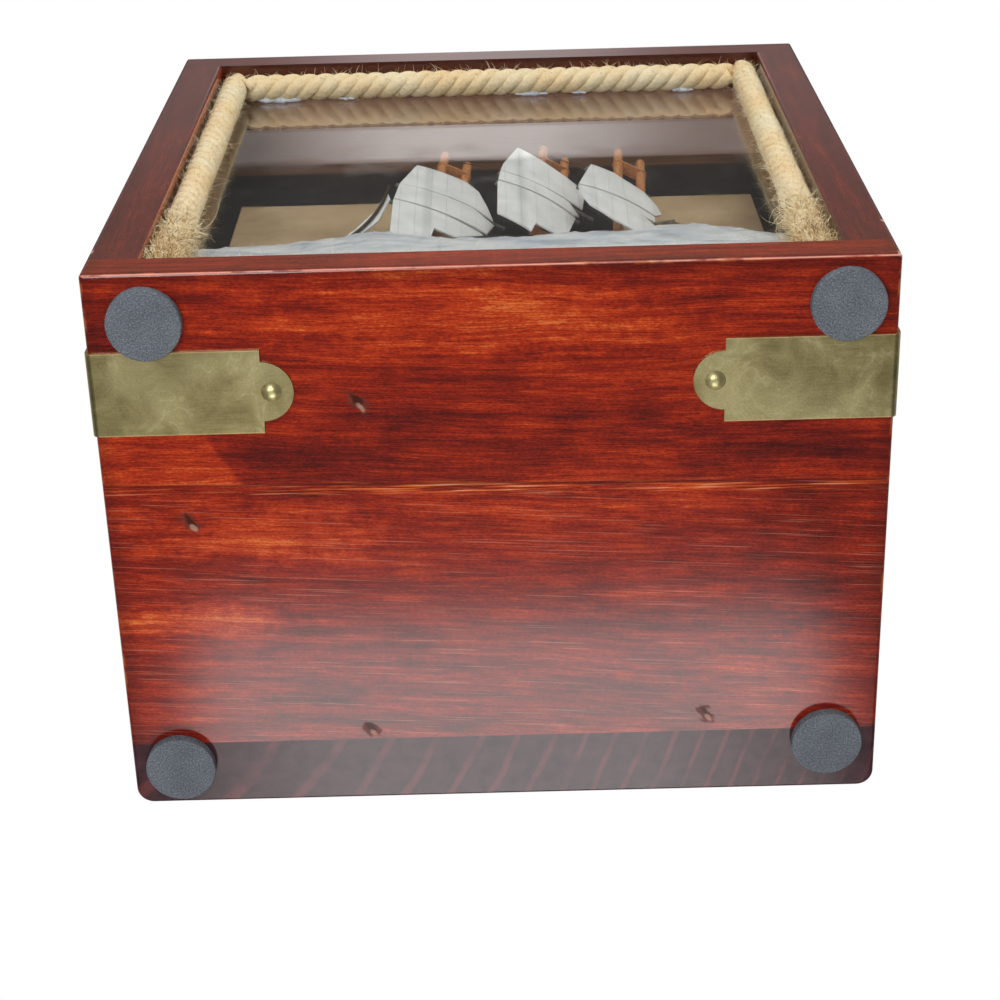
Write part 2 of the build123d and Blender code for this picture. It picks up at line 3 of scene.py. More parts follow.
import bpy
import numpy as np
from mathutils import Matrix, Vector


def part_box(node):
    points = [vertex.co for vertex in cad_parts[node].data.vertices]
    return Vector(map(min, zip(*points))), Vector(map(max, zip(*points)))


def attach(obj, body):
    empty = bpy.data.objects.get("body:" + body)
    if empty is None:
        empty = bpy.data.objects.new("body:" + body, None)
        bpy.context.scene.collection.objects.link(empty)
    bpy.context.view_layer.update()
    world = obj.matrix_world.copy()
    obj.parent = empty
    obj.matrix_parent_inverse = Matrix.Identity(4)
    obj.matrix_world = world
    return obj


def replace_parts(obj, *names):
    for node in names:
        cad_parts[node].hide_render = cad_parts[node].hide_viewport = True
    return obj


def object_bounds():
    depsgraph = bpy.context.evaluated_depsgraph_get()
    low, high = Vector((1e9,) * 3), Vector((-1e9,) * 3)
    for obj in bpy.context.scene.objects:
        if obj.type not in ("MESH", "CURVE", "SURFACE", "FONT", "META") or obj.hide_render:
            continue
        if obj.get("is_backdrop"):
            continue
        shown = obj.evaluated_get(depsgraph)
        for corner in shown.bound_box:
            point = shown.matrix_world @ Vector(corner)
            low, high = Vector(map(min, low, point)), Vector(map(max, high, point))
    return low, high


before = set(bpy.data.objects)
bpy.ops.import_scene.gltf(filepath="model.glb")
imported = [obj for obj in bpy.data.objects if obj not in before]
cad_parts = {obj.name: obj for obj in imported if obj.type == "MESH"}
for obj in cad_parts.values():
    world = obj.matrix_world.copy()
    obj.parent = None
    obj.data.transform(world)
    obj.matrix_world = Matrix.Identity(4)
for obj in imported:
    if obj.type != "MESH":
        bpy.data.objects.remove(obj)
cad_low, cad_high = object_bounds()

# ---- places taken from the frame, in metres --------------------------------------------------------

MM = 0.001
plank_low, plank_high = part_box("bottom_front_plank")
back_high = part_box("back_board")[1]
LEFT, RIGHT = plank_low.x, plank_high.x
FRONT, REAR = plank_low.y, back_high.y
Z_BASE, Z_FLOOR = plank_low.z, plank_high.z
Z_PART, Z_TOP = back_high.z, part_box("lid_board")[1].z
GLASS_FRONT, GLASS_BACK = (corner.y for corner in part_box("glass_pane"))
STRAP_NEAR, STRAP_FAR = (corner.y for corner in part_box("strap_bottom_left"))
INNER_LEFT, INNER_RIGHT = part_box("left_side")[1].x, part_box("right_side")[0].x
INNER_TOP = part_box("top_front_board")[0].z

# ---- node helpers ----------------------------------------------------------------------------------


def srgb(red, green, blue):
    """An 8-bit display colour as the linear colour that a shader takes."""
    channel = np.array([red, green, blue]) / 255.0
    linear = np.where(channel <= 0.04045, channel / 12.92, ((channel + 0.055) / 1.055) ** 2.4)
    return (*linear.tolist(), 1.0)


class Value:
    """A socket in a node tree. Sums with it add Math nodes, or Vector Math nodes where a vector takes
    part, and each method adds the node that does what it is named after."""

    def __init__(self, tree, socket):
        self.tree, self.socket = tree, socket

    def __add__(self, other):
        return calculate("ADD", self, other)

    def __sub__(self, other):
        return calculate("SUBTRACT", self, other)

    def __rsub__(self, other):
        return calculate("SUBTRACT", other, self)

    def __mul__(self, other):
        return calculate("MULTIPLY", self, other)

    def __truediv__(self, other):
        return calculate("DIVIDE", self, other)

    def __pow__(self, other):
        return calculate("POWER", self, other)

    def __abs__(self):
        return calculate("ABSOLUTE", self)

    def length(self):
        return calculate("LENGTH", self)

    def parts(self):
        made = add_node(self.tree, "ShaderNodeSeparateXYZ", {"Vector": self})
        return [Value(self.tree, socket) for socket in made.outputs]

    def noise(self, scale=1.0, detail=2.0, rough=0.5, warp=0.0, output="Fac"):
        made = add_node(self.tree, "ShaderNodeTexNoise", {
            "Vector": self, "Scale": scale, "Detail": detail, "Roughness": rough, "Distortion": warp})
        return Value(self.tree, made.outputs[output])

    def step(self, low, high, to_low=0.0, to_high=1.0):
        """Smooth rise from to_low to to_high as the value goes from low to high."""
        made = add_node(self.tree, "ShaderNodeMapRange", {
            "Value": self, "From Min": low, "From Max": high, "To Min": to_low, "To Max": to_high},
            interpolation_type="SMOOTHSTEP")
        return Value(self.tree, made.outputs["Result"])

    def fade(self, low, high, strength=1.0):
        """Smooth fall from strength to nothing as the value goes from low to high."""
        return self.step(low, high, strength, 0.0)

    def ramp(self, *stops):
        """A colour ramp; each stop is its place and its display colour."""
        made = add_node(self.tree, "ShaderNodeValToRGB", {"Fac": self})
        elements = made.color_ramp.elements
        while len(elements) < len(stops):
            elements.new(0.5)
        for element, (place, colour) in zip(elements, stops):
            element.position = place
            element.color = srgb(*colour)
        return Value(self.tree, made.outputs["Color"])

    def bump(self, distance):
        made = add_node(self.tree, "ShaderNodeBump", {
            "Height": self, "Distance": distance, "Strength": 1.0})
        return Value(self.tree, made.outputs["Normal"])


def add_node(tree, kind, values=None, **settings):
    """A new node, its inputs linked or set by name or number."""
    made = tree.nodes.new(kind)
    for key, value in settings.items():
        setattr(made, key, value)
    for key, value in (values or {}).items():
        if isinstance(value, Value):
            tree.links.new(value.socket, made.inputs[key])
        else:
            made.inputs[key].default_value = value
    return made


def tree_of(values):
    return next(value.tree for value in values if isinstance(value, Value))


def calculate(operation, *values, clamp=False):
    """A Math node, or a Vector Math node where any value is a vector."""
    tree = tree_of(values)
    if any(value.socket.type in ("VECTOR", "RGBA") if isinstance(value, Value) else
           isinstance(value, tuple) for value in values):
        values = [(value,) * 3 if isinstance(value, float) else value for value in values]
        made = add_node(tree, "ShaderNodeVectorMath", dict(enumerate(values)), operation=operation)
        return Value(tree, made.outputs["Value" if operation == "LENGTH" else "Vector"])
    made = add_node(tree, "ShaderNodeMath", dict(enumerate(values)), operation=operation, use_clamp=clamp)
    return Value(tree, made.outputs[0])


def least(first, second):
    return calculate("MINIMUM", first, second)


def most(first, second):
    return calculate("MAXIMUM", first, second)


def joined(*axes):
    tree = tree_of(axes)
    return Value(tree, add_node(tree, "ShaderNodeCombineXYZ", dict(enumerate(axes))).outputs[0])


def mix(factor, first, second):
    tree = tree_of((factor, first, second))
    made = add_node(tree, "ShaderNodeMix", {0: factor, 6: first, 7: second}, data_type="RGBA")
    return Value(tree, made.outputs[2])


def layered(colour, *layers):
    """Display colours laid over a colour in turn, each by its mask."""
    for mask, tint in layers:
        colour = mix(mask, colour, srgb(*tint))
    return colour


def source(tree, kind, *names, **settings):
    """The named outputs of a node that has no inputs to set."""
    outputs = add_node(tree, kind, **settings).outputs
    return [Value(tree, outputs[name]) for name in names]


def group(name, inputs, outputs, fill):
    """A node group. inputs gives each input's default; fill gets the inputs and returns the outputs."""
    tree = bpy.data.node_groups.new(name, "ShaderNodeTree")
    for label, value in inputs.items():
        kind = "Float" if isinstance(value, float) else "Vector" if len(value) == 3 else "Color"
        socket = tree.interface.new_socket(label, in_out="INPUT", socket_type="NodeSocket" + kind)
        socket.default_value = value
    for label in outputs:
        kind = "Color" if label == "Color" else "Float"
        tree.interface.new_socket(label, in_out="OUTPUT", socket_type="NodeSocket" + kind)
    entry = tree.nodes.new("NodeGroupInput").outputs
    made = fill({label: Value(tree, entry[label]) for label in inputs})
    add_node(tree, "NodeGroupOutput", dict(zip(outputs, made)))
    return tree


def use(tree, **values):
    """Places a group beside the values that it gets, and returns its outputs."""
    parent = tree_of(values.values())
    made = add_node(parent, "ShaderNodeGroup", values, node_tree=tree)
    return [Value(parent, socket) for socket in made.outputs]


def shader(tree, kind, values=None):
    return Value(tree, add_node(tree, kind, values).outputs[0])


def blend(factor, first, second):
    return shader(first.tree, "ShaderNodeMixShader", {0: factor, 1: first, 2: second})


def emptied(made):
    """A new material or world, with its node tree cleared."""
    made.use_nodes = True
    made.node_tree.nodes.clear()
    return made, made.node_tree


def material(name, build):
    """A material whose build function gets the Object vector in millimetres and returns the Principled
    BSDF's inputs."""
    made, tree = emptied(bpy.data.materials.new(name))
    place, = source(tree, "ShaderNodeTexCoord", "Object")
    surface = shader(tree, "ShaderNodeBsdfPrincipled", build(place * (1 / MM)))
    add_node(tree, "ShaderNodeOutputMaterial", {"Surface": surface})
    return made


# ---- shared effects --------------------------------------------------------------------------------

ORIGIN, WHITE = (0.0, 0.0, 0.0), (1.0, 1.0, 1.0, 1.0)
# how far a board's growth rings wander, and how much of each figure its tone takes
WANDER = 24.0
RINGS, FIBRE, STREAK, MOTTLE, SPECK = 0.06, 0.50, 0.50, 0.30, 0.30


def fill_wood(given):
    """Growth rings at distances from a pith that wanders along the board, with fibres, pores, streaks and
    mottle drawn out along local X, which is the grain. Tone gathers them round 0.5."""
    moved = given["Vector"] + joined(*(given["Seed"] * step for step in (171.0, 37.0, 59.0)))
    drift = (moved * (0.008, 0.03, 0.03)).noise(output="Color") - (0.5, 0.5, 0.5)
    bend = drift * WANDER
    across = (given["Vector"] + bend - given["Pith"]) * (0.0, 1.0, 1.0)
    phase = across.length() / given["Ring"] + (moved * (0.02, 0.25, 0.25)).noise()
    rings = calculate("SINE", phase * math.tau) * 0.5 + 0.5
    # the streaks bend with the board's slow drift
    flowing = moved + bend * (0.0, 0.4, 0.4)
    fibre = (flowing * (0.07, 2.6, 2.6)).noise(detail=3.0, rough=0.65)
    pore = (flowing * (0.16, 3.6, 3.6)).noise(detail=1.0)
    streak = (flowing * (0.022, 0.42, 0.42)).noise(detail=3.0, rough=0.6)
    mottle = (moved * (0.07, 0.13, 0.13)).noise(detail=3.0, rough=0.6)
    speck = (moved * (1.1, 3.0, 3.0)).noise(detail=1.0)
    tone = 0.5
    for part, weight in ((rings, RINGS), (fibre, FIBRE), (streak, STREAK), (mottle, MOTTLE),
                         (speck, SPECK)):
        tone = (part - 0.5) * weight + tone
    return tone, fibre, pore.step(0.60, 0.72)


WOOD = group("wood figure", {"Vector": ORIGIN, "Seed": 1.0, "Pith": (0.0, 0.0, 60.0), "Ring": 4.0},
             ["Tone", "Fibre", "Pores"], fill_wood)


def fill_patch(given):
    """One soft-edged oval: 1 at its centre, 0 outside its half sizes, its outline roughened by noise."""
    away = ((given["Vector"] - given["Centre"]) / given["Half"]).length()
    rough = (given["Vector"].noise(0.35) - 0.5) * given["Rough"]
    return [(away + rough).fade(given["Edge"], 1.0)]


PATCH = group("patch", {"Vector": ORIGIN, "Centre": ORIGIN, "Half": (1.0, 1.0, 1.0), "Edge": 0.2,
                        "Rough": 0.8}, ["Mask"], fill_patch)


def fill_edge(given):
    """A point's three distances from a box's faces: the middle one is how far a point of its surface is
    from the nearest edge, the least one how deep the point lies inside."""
    x, y, z = (given["Half"] - abs(given["Vector"] - given["Centre"])).parts()
    low = least(x, y)
    return most(low, least(most(x, y), z)), least(low, z)


EDGE = group("edge distance", {"Vector": ORIGIN, "Centre": ORIGIN, "Half": ORIGIN},
             ["Distance", "Depth"], fill_edge)


def fill_streaks(given):
    """Noise drawn out or squeezed along each axis."""
    return [(given["Vector"] * given["Stretch"]).noise(detail=given["Detail"])]


STREAKS = group("streaks", {"Vector": ORIGIN, "Stretch": (1.0, 1.0, 1.0), "Detail": 3.0}, ["Streak"],
                fill_streaks)

CASE = {"Centre": (0.0, (FRONT + REAR) / 2 / MM, (Z_BASE + Z_TOP) / 2 / MM),
        "Half": (RIGHT / MM, (REAR - FRONT) / 2 / MM, (Z_TOP - Z_BASE) / 2 / MM)}


def patches(place, spots, edge=0.2):
    """The sum of several ovals, each from left, from front, half length, half width, strength."""
    total = 0.0
    for from_left, from_front, half_x, half_y, strength in spots:
        mask, = use(PATCH, Vector=place, Edge=edge, Half=(half_x, half_y, 400.0),
                    Centre=(LEFT / MM + from_left, FRONT / MM + from_front, 0.0))
        total = mask * strength + total
    return total


# ---- stained wood ----------------------------------------------------------------------------------

STAIN_DEEP, STAIN_GOLD = (62, 14, 11), (222, 124, 60)
# painted shade and grey sheen of the front faces, then the pale bare wood in a nick
FRONT_SHADE_SHEEN, BARE_NICK = (92, 66, 60), (238, 196, 178)
COAT = 0.95
VARNISHED = {"Roughness": 0.5, "Coat Weight": COAT, "Coat Roughness": 0.13, "Specular IOR Level": 0.0}


def fill_stained(given):
    """Colour and relief of one stained board, its grain along the vector's X; Lift brightens it."""
    lift = given.pop("Lift")
    tone, fibre, pores = use(WOOD, **given)
    colour = (tone + lift).ramp((0.24, STAIN_DEEP), (0.41, (106, 24, 14)), (0.54, (142, 35, 15)),
                                (0.68, (180, 58, 20)), (0.90, STAIN_GOLD))
    return layered(colour, (pores * 0.45, STAIN_DEEP)), fibre - pores * 0.7


STAINED = group("stained grain", {"Vector": ORIGIN, "Seed": 1.0, "Pith": (0.0, 0.0, 60.0), "Ring": 4.0,
                                  "Lift": 0.0}, ["Color", "Height"], fill_stained)

# nicks in the front corners: across, height above the ground, half height
NICKS = [(LEFT / MM, 21.0, 2.4), (RIGHT / MM, 29.5, 2.0), (RIGHT / MM, 4.6, 3.4)]


def fill_worn_and_shaded(given):
    """Darker stain gathered along the case's edges, painted shade and grey sheen on the front faces, thin
    worn places on the arrises themselves, and nicks in the front corners."""
    place = given["Vector"]
    _, y, z = place.parts()
    distance, _ = use(EDGE, Vector=place, **CASE)
    scuff = distance.fade(0.2, 1.1) * place.noise(0.16, detail=4.0).step(0.52, 0.66)
    # painted shade and grey sheen darken the front faces above the base
    front_shade_mask = y.fade(FRONT / MM + 0.3, FRONT / MM + 1.2, 0.72)
    above_foot = z.step(Z_FLOOR / MM - 0.2, Z_FLOOR / MM + 0.2)
    colour = layered(given["Color"], (distance.fade(0.5, 6.0, 0.4), STAIN_DEEP),
                     (scuff * 0.5, STAIN_GOLD), (front_shade_mask * above_foot, FRONT_SHADE_SHEEN))
    for across, level, size in NICKS:
        nick, = use(PATCH, Vector=place, Edge=0.3, Rough=1.4, Half=(1.3, 1.3, size),
                    Centre=(across, FRONT / MM, level))
        colour = layered(colour, (nick * 0.8, BARE_NICK))
    return [colour]


WORN_AND_SHADED = group("edge wear and front shade", {"Vector": ORIGIN, "Color": WHITE}, ["Color"], fill_worn_and_shaded)

# a surface this far inside the case belongs to the recess or the compartment
INSIDE = (10.4, 11.0)


def fill_recess(given):
    """In front of the glass, the surfaces that face into the recess get painted shade beside the rope, and
    the left one a painted orange light along its arris. Behind it the wood is bare, brown and dusty."""
    x, y, z = given["Vector"].parts()
    facing_x, facing_y, _ = given["Facing"].parts()
    glass = (GLASS_BACK / MM - 0.4, GLASS_BACK / MM)
    from_level = CASE["Half"][2] - abs(z - CASE["Centre"][2])
    inward = (least(RIGHT / MM - abs(x), from_level).step(*INSIDE) * abs(facing_y).fade(0.4, 0.6)
              * y.fade(*glass))
    # painted light and shade on the recess walls: the wall facing +X is lit orange near its front arris,
    # the rest is drawn dark as shade beside the rope
    pale = facing_x.step(0.4, 0.6) * (y - FRONT / MM).fade(1.4, 3.8)
    recess_light_and_shade = mix(pale, srgb(58, 28, 20), srgb(180, 78, 50))
    colour = mix(inward * 0.85, given["Color"], recess_light_and_shade)
    _, depth = use(EDGE, Vector=given["Vector"], **CASE)
    behind = y.step(*glass) * depth.step(*INSIDE)
    return [mix(behind, colour, layered(colour, (0.8, (186, 150, 132))))]


RECESS = group("recess and inside", {"Vector": ORIGIN, "Facing": ORIGIN, "Color": WHITE}, ["Color"],
               fill_recess)


def facing(tree):
    return source(tree, "ShaderNodeNewGeometry", "True Normal")[0]


def board(order, seed, pith, ring, lift=0.0):
    """Stained, varnished wood whose grain runs along the axis that order names first."""
    def build(place):
        axes = dict(zip("XYZ", place.parts()))
        along = joined(*(axes[axis] for axis in order))
        colour, height = use(STAINED, Vector=along, Seed=seed, Pith=pith, Ring=ring, Lift=lift)
        colour, = use(WORN_AND_SHADED, Vector=place, Color=colour)
        colour, = use(RECESS, Vector=place, Facing=facing(place.tree), Color=colour)
        return {**VARNISHED, "Base Color": colour, "Normal": height.bump(0.00009)}
    return build


# underside: middle of the glue joint at the two ends, from the front
JOINT_LEFT, JOINT_RIGHT = 57.6, 61.0
# the orange sapwood: its reach from the left, how far its edge leans, and where it starts from the front
SAPWOOD_REACH, SAPWOOD_LEAN, SAPWOOD_FROM = 27.0, 0.62, 43.0
# from left, from front, half length, half width, strength
BRIGHT_FRONT = [(95, 12, 75, 16, 0.15), (150, 28, 60, 18, 0.05), (60, 30, 40, 14, 0.02)]
DARK_FRONT = [(78, 38, 30, 14, 0.08), (52, 50, 26, 8, 0.09), (180, 50, 34, 10, 0.10),
              (8, 20, 16, 20, 0.10), (136, 37, 20, 14, 0.04)]
BRIGHT_REAR = [(38, 72, 44, 12, 0.16), (20, 98, 34, 7, 0.18), (120, 66, 60, 6, 0.08)]
DARK_REAR = [(130, 105, 80, 12, 0.08), (185, 90, 30, 30, 0.06), (90, 125, 110, 14, 0.07)]
TORN = [(80, 60, 48, 8, 0.45), (150, 62, 40, 8, 0.2)]
# dents: from left, from front; and the ovals that make up each: sideways, rearwards, half size, strength,
# colour. They lean by this much sideways on the way to the rear.
DENTS = [(67.0, 35.7), (21.8, 68.5), (65.6, 132.3), (156.5, 129.6)]
DENT_OVALS = [(0.0, 0.0, (2.8, 3.8, 9.0), 0.7, (98, 56, 46)),
              (0.0, -0.5, (1.4, 2.3, 9.0), 0.8, (50, 24, 20)),
              (0.9, 1.6, (1.1, 1.4, 9.0), 0.6, (190, 146, 126))]
DENT_LEAN = 0.5


def build_underside(place):
    """Two planks with a skewed glue joint, an orange sapwood corner, and four filled nail holes."""
    x, y, z = place.parts()
    from_left, from_front = x - LEFT / MM, y - FRONT / MM
    past = from_front - (from_left * ((JOINT_RIGHT - JOINT_LEFT) * MM / (RIGHT - LEFT)) + JOINT_LEFT)
    flat = place * (1.0, 1.0, 0.0)
    # the grain runs a little askew
    front_grain, rear_grain = joined(x, x * -0.03 + y, z), joined(x, x * -0.06 + y, z)

    sap_edge = from_left - (from_front - SAPWOOD_FROM) * SAPWOOD_LEAN
    sapwood = (sap_edge.fade(SAPWOOD_REACH - 1.0, SAPWOOD_REACH + 1.0)
               * from_front.step(SAPWOOD_FROM - 4.0, SAPWOOD_FROM))
    lift_front = sapwood * 0.12 + patches(flat, BRIGHT_FRONT) - patches(flat, DARK_FRONT)
    lift_rear = patches(flat, BRIGHT_REAR) - patches(flat, DARK_REAR)
    front_colour, front_height = use(STAINED, Vector=front_grain, Seed=1.3, Pith=(0.0, -20.0, 70.0),
                                     Ring=3.2, Lift=lift_front)
    rear_colour, rear_height = use(STAINED, Vector=rear_grain, Seed=4.1, Pith=(0.0, 30.0, 90.0),
                                   Ring=4.6, Lift=lift_rear)
    open_grain = (rear_grain * (0.035, 2.4, 1.0)).noise(detail=3.0).step(0.60, 0.70, 0.0, 0.42)
    rear_colour = layered(rear_colour, (open_grain, (200, 124, 96)))
    rear = past.step(-0.2, 0.2)
    height = rear * (rear_height - front_height) + front_height

    # glue joint: a dark line, with torn golden fibres beside it
    dashes = (place * (0.05, 1.6, 1.0)).noise()
    torn = (abs(past - 1.1).fade(0.6, 2.4) * dashes.step(0.50, 0.62)
            * (patches(flat, TORN, 0.3) + 0.45))
    colour = layered(mix(rear, front_colour, rear_colour), (torn, (214, 104, 44)),
                     (torn * dashes.step(0.62, 0.70, 0.0, 0.8), (238, 186, 146)),
                     (abs(past).fade(0.1, 0.55, 0.6), STAIN_DEEP))

    leaning = joined(y * -DENT_LEAN + x, y)
    bare = 0.0
    for left, front in DENTS:
        for across, along, size, strength, tint in DENT_OVALS:
            middle = FRONT / MM + front + along
            centre = (LEFT / MM + left + across - DENT_LEAN * middle, middle, 0.0)
            scrape, = use(PATCH, Vector=leaning, Edge=0.35, Rough=1.9, Half=size, Centre=centre)
            colour = layered(colour, (scrape * strength, tint))
            height = height - scrape * 1.2
            bare = most(bare, scrape)
    colour, = use(WORN_AND_SHADED, Vector=place, Color=colour)
    # its front face is painted greyer as shade and sheen, and a painted highlight runs along the whole
    # arris below the glass
    above = z - Z_BASE / MM
    arris_highlight = (most(from_front, above).fade(0.25, 0.62)
              * place.noise(0.12, detail=3.0).step(0.3, 0.48, 0.25, 0.85))
    colour = layered(colour, (from_front.fade(0.3, 1.2, 0.32) * above.step(0.9, 1.3), (134, 92, 74)),
                     (arris_highlight, (242, 172, 150)))
    return {**VARNISHED, "Base Color": colour, "Coat Weight": bare.step(0.1, 0.7, COAT, 0.3),
            "Normal": height.bump(0.0001)}


# pith of the back board's lower end, in millimetres
BACK_PITH = (-167.0, -12.0, 0.0)


def build_back(place):
    """Back board with upright grain: its lower end shows growth rings round a pith beyond the left, set
    closer as they go out, on grey-brown end grain that took little stain."""
    x, y, z = place.parts()
    upright, height = use(STAINED, Vector=joined(z, x, y), Seed=7.7, Pith=(0.0, -40.0, -30.0), Ring=5.0)
    upright, = use(WORN_AND_SHADED, Vector=place, Color=upright)
    away = (joined(x, y) - BACK_PITH).length() / 100.0
    phase = away ** 2.4 * 1.9 + place.noise(0.05) * 0.5
    line = (calculate("PINGPONG", phase, 0.5).step(0.36, 0.46)
            * place.noise(0.09, detail=3.0).step(0.35, 0.6, 0.15, 0.6))
    ground = place.noise(0.25, detail=3.0).ramp((0.3, (52, 26, 32)), (0.7, (72, 44, 50)))
    end = layered(ground, (line, (116, 58, 58)),
                  (place.noise(0.9).step(0.68, 0.74, 0.0, 0.6), (34, 20, 22)))
    facing_down = (z - Z_BASE / MM).fade(0.9, 1.3)
    # the varnish is thinner on the end grain, most of all near its ends
    coat = facing_down.step(0.0, 1.0, COAT, abs(x).step(35.0, 80.0, 0.8, 0.52))
    return {**VARNISHED, "Base Color": mix(facing_down, upright, end), "Coat Weight": coat,
            "Normal": height.bump(0.00009)}


# ---- metal -----------------------------------------------------------------------------------------


def build_brass(place):
    """Thin brass sheet gone olive: cloudy tarnish, curled finger smears, fine scratches, and painted
    highlights on its edges.
    """
    _, y, _ = place.parts()
    _, facing_y, _ = facing(place.tree).parts()
    cloud = place.noise(0.09, detail=4.0, rough=0.6, warp=0.6)
    base = cloud.ramp((0.34, (138, 126, 85)), (0.52, (162, 149, 104)), (0.66, (184, 170, 122)))
    curl = place.noise(0.09, detail=1.5, warp=2.0)
    smear = abs(curl - 0.5).fade(0.0, 0.05) * cloud.step(0.44, 0.56)
    grit = place.noise(1.6, detail=3.0, rough=0.7)
    brushed = (place * (0.08, 4.0, 4.0)).noise()
    scratch = (place * (0.22, 2.4, 2.4)).noise(detail=1.0)
    # painted highlights: the sheared edges are drawn bright, and so is the arris beside each
    highlight_edge_distance = least(abs(y - STRAP_NEAR / MM), abs(y - STRAP_FAR / MM))
    colour = layered(base, (place.noise(0.045).step(0.46, 0.62, 0.0, 0.35), (196, 186, 140)),
                     (smear * 0.30, (208, 200, 160)),
                     (brushed.step(0.35, 0.65, 0.0, 0.10), (206, 194, 142)),
                     (grit.fade(0.38, 0.62, 0.16), (84, 76, 50)),
                     (scratch.step(0.68, 0.76, 0.0, 0.12), (226, 214, 160)),
                     (highlight_edge_distance.fade(0.15, 0.4, 0.5), (232, 196, 140)),
                     (abs(facing_y).step(0.4, 0.6, 0.0, 0.8), (238, 208, 152)))
    return {"Base Color": colour, "Metallic": 1.0, "Roughness": cloud * 0.25 + 0.33,
            "Normal": (brushed * 0.4 + cloud + grit).bump(0.00004)}


def build_dome(place):
    tint = place.noise(0.8, detail=3.0).ramp((0.35, (200, 188, 130)), (0.65, (228, 218, 166)))
    return {"Base Color": tint, "Metallic": 1.0, "Roughness": 0.42,
            "Normal": place.noise(1.2).bump(0.00005)}


# ---- other finishes --------------------------------------------------------------------------------


def streaked(stretch, detail, low, high, roughness, relief=0.0001):
    """A surface whose streaks go from one colour to another, each with its place in the ramp."""
    def build(place):
        streak, = use(STREAKS, Vector=place, Stretch=stretch, Detail=detail)
        look = {"Base Color": streak.ramp(low, high), "Roughness": roughness}
        return {**look, "Normal": streak.bump(relief)} if relief else look
    return build


def build_foam(place):
    """Closed-cell foam: fine light specks in blue-grey, with small cells in the surface."""
    cells = place.noise(2.3, detail=3.0, rough=0.7)
    colour = (place.noise(0.12) * 0.15 + cells * 0.85).ramp(
        (0.34, (66, 69, 75)), (0.50, (98, 103, 110)), (0.68, (136, 142, 150)))
    return {"Base Color": colour, "Roughness": 0.85, "Specular IOR Level": 0.25,
            "Normal": cells.bump(0.0003)}


def above_floor(place):
    return place.parts()[2] - Z_FLOOR / MM


def lay(tree):
    """The UVs of ropes and fibres."""
    return source(tree, "ShaderNodeUVMap", "UV", uv_map="lay")[0]


def build_rope(place):
    """Jute yarns: fine twisted streaks along each strand from its own UV, paler where they stand out, and
    soiled feet."""
    yarn = (lay(place.tree) * (2.2, 24.0, 1.0)).noise(detail=4.0, rough=0.75)
    tangle = place.noise(0.9, detail=4.0, rough=0.7, warp=0.8)
    colour = (place.noise(0.05) * 0.4 + yarn * 0.6).ramp(
        (0.27, (224, 180, 124)), (0.44, (255, 225, 174)), (0.60, (255, 244, 209)))
    colour = layered(colour, (tangle.fade(0.34, 0.44, 0.35), (158, 126, 82)),
                     (above_floor(place).fade(12.0, 75.0, 0.12), (164, 130, 80)))
    return {"Base Color": colour, "Roughness": 0.9, "Specular IOR Level": 0.1,
            "Normal": (tangle * 1.2 + yarn).bump(0.0006)}


def build_fibre(place):
    """Loose jute fibres, each of one shade from its own UV: brown, straw or nearly white."""
    shade = (lay(place.tree) * (3.0, 3.0, 1.0)).noise(detail=1.0)
    colour = (shade + above_floor(place).step(12.0, 60.0, -0.03, 0.09)).ramp(
        (0.33, (136, 102, 60)), (0.45, (228, 190, 132)), (0.58, (255, 244, 208)))
    return {"Base Color": colour, "Roughness": 0.8, "Specular IOR Level": 0.15,
            "Normal": shade.bump(0.0001)}


# painted soft shadows that the masts cast on the sails: across the case, strength
MAST_SHADOWS = [(-18.5, 0.26), (9.0, 0.22), (30.0, 0.12)]


def build_sail(place):
    """Stiff off-white sail: faint upright seams, a painted soft grey shadow of its mast, and grime
    gathered in soft clouds."""
    x, _, _ = place.parts()
    seam = calculate("PINGPONG", x, 2.2).fade(0.0, 0.22)
    grime = place.noise(0.14, detail=4.0).ramp((0.35, (234, 233, 230)), (0.65, (250, 249, 247)))
    mast_shadows = [(abs(x - mast).fade(0.3, 2.0, strength), (140, 142, 140)) for mast, strength in MAST_SHADOWS]
    return {"Base Color": layered(grime, *mast_shadows, (seam * 0.06, (150, 150, 142))), "Roughness": 0.75,
            "Normal": seam.bump(0.0001)}


def build_deck(place):
    """Thin planks with dark seams between them."""
    seam = calculate("PINGPONG", place.parts()[1], 0.6).fade(0.0, 0.1, 0.6)
    streak, = use(STREAKS, Vector=place, Stretch=(0.15, 2.0, 2.0))
    colour = streak.ramp((0.3, (150, 110, 70)), (0.7, (196, 156, 108)))
    return {"Base Color": layered(colour, (seam, (80, 56, 38))), "Roughness": 0.6,
            "Normal": streak.bump(0.0001)}


def build_sea(place):
    """Painted plaster sea: blue-grey troughs under white crests, glossy."""
    swell = (place * (0.05, 0.1, 0.12)).noise(detail=5.0, rough=0.6, warp=0.8)
    colour = swell.ramp((0.34, (184, 195, 208)), (0.46, (222, 227, 232)), (0.58, (245, 246, 246)))
    return {"Base Color": colour, "Roughness": 0.3, "Normal": swell.bump(0.0012)}


def build_card(place):
    """Plain aged card, mottled."""
    age = place.noise(0.05, detail=5.0, rough=0.6)
    return {"Base Color": age.ramp((0.35, (172, 146, 112)), (0.65, (200, 174, 138))), "Roughness": 0.85,
            "Normal": place.noise(1.5).bump(0.0001)}


def build_black(place):
    """Black-painted panel, dusty, with a brown grained strip along its top."""
    dust = place.noise(0.1, detail=5.0, rough=0.7)
    paint = dust.ramp((0.35, (26, 25, 24)), (0.7, (46, 45, 42)))
    # a brown grained strip along the top of the panel
    bare = (place.noise(0.3) * 1.2 + place.parts()[2]).step(Z_PART / MM - 12.0, Z_PART / MM - 8.0)
    grain, = use(STREAKS, Vector=place, Stretch=(0.05, 1.0, 1.2))
    return {"Base Color": mix(bare, paint, grain.ramp((0.35, (92, 62, 38)), (0.65, (130, 92, 60)))),
            "Roughness": 0.6, "Normal": dust.bump(0.0001)}


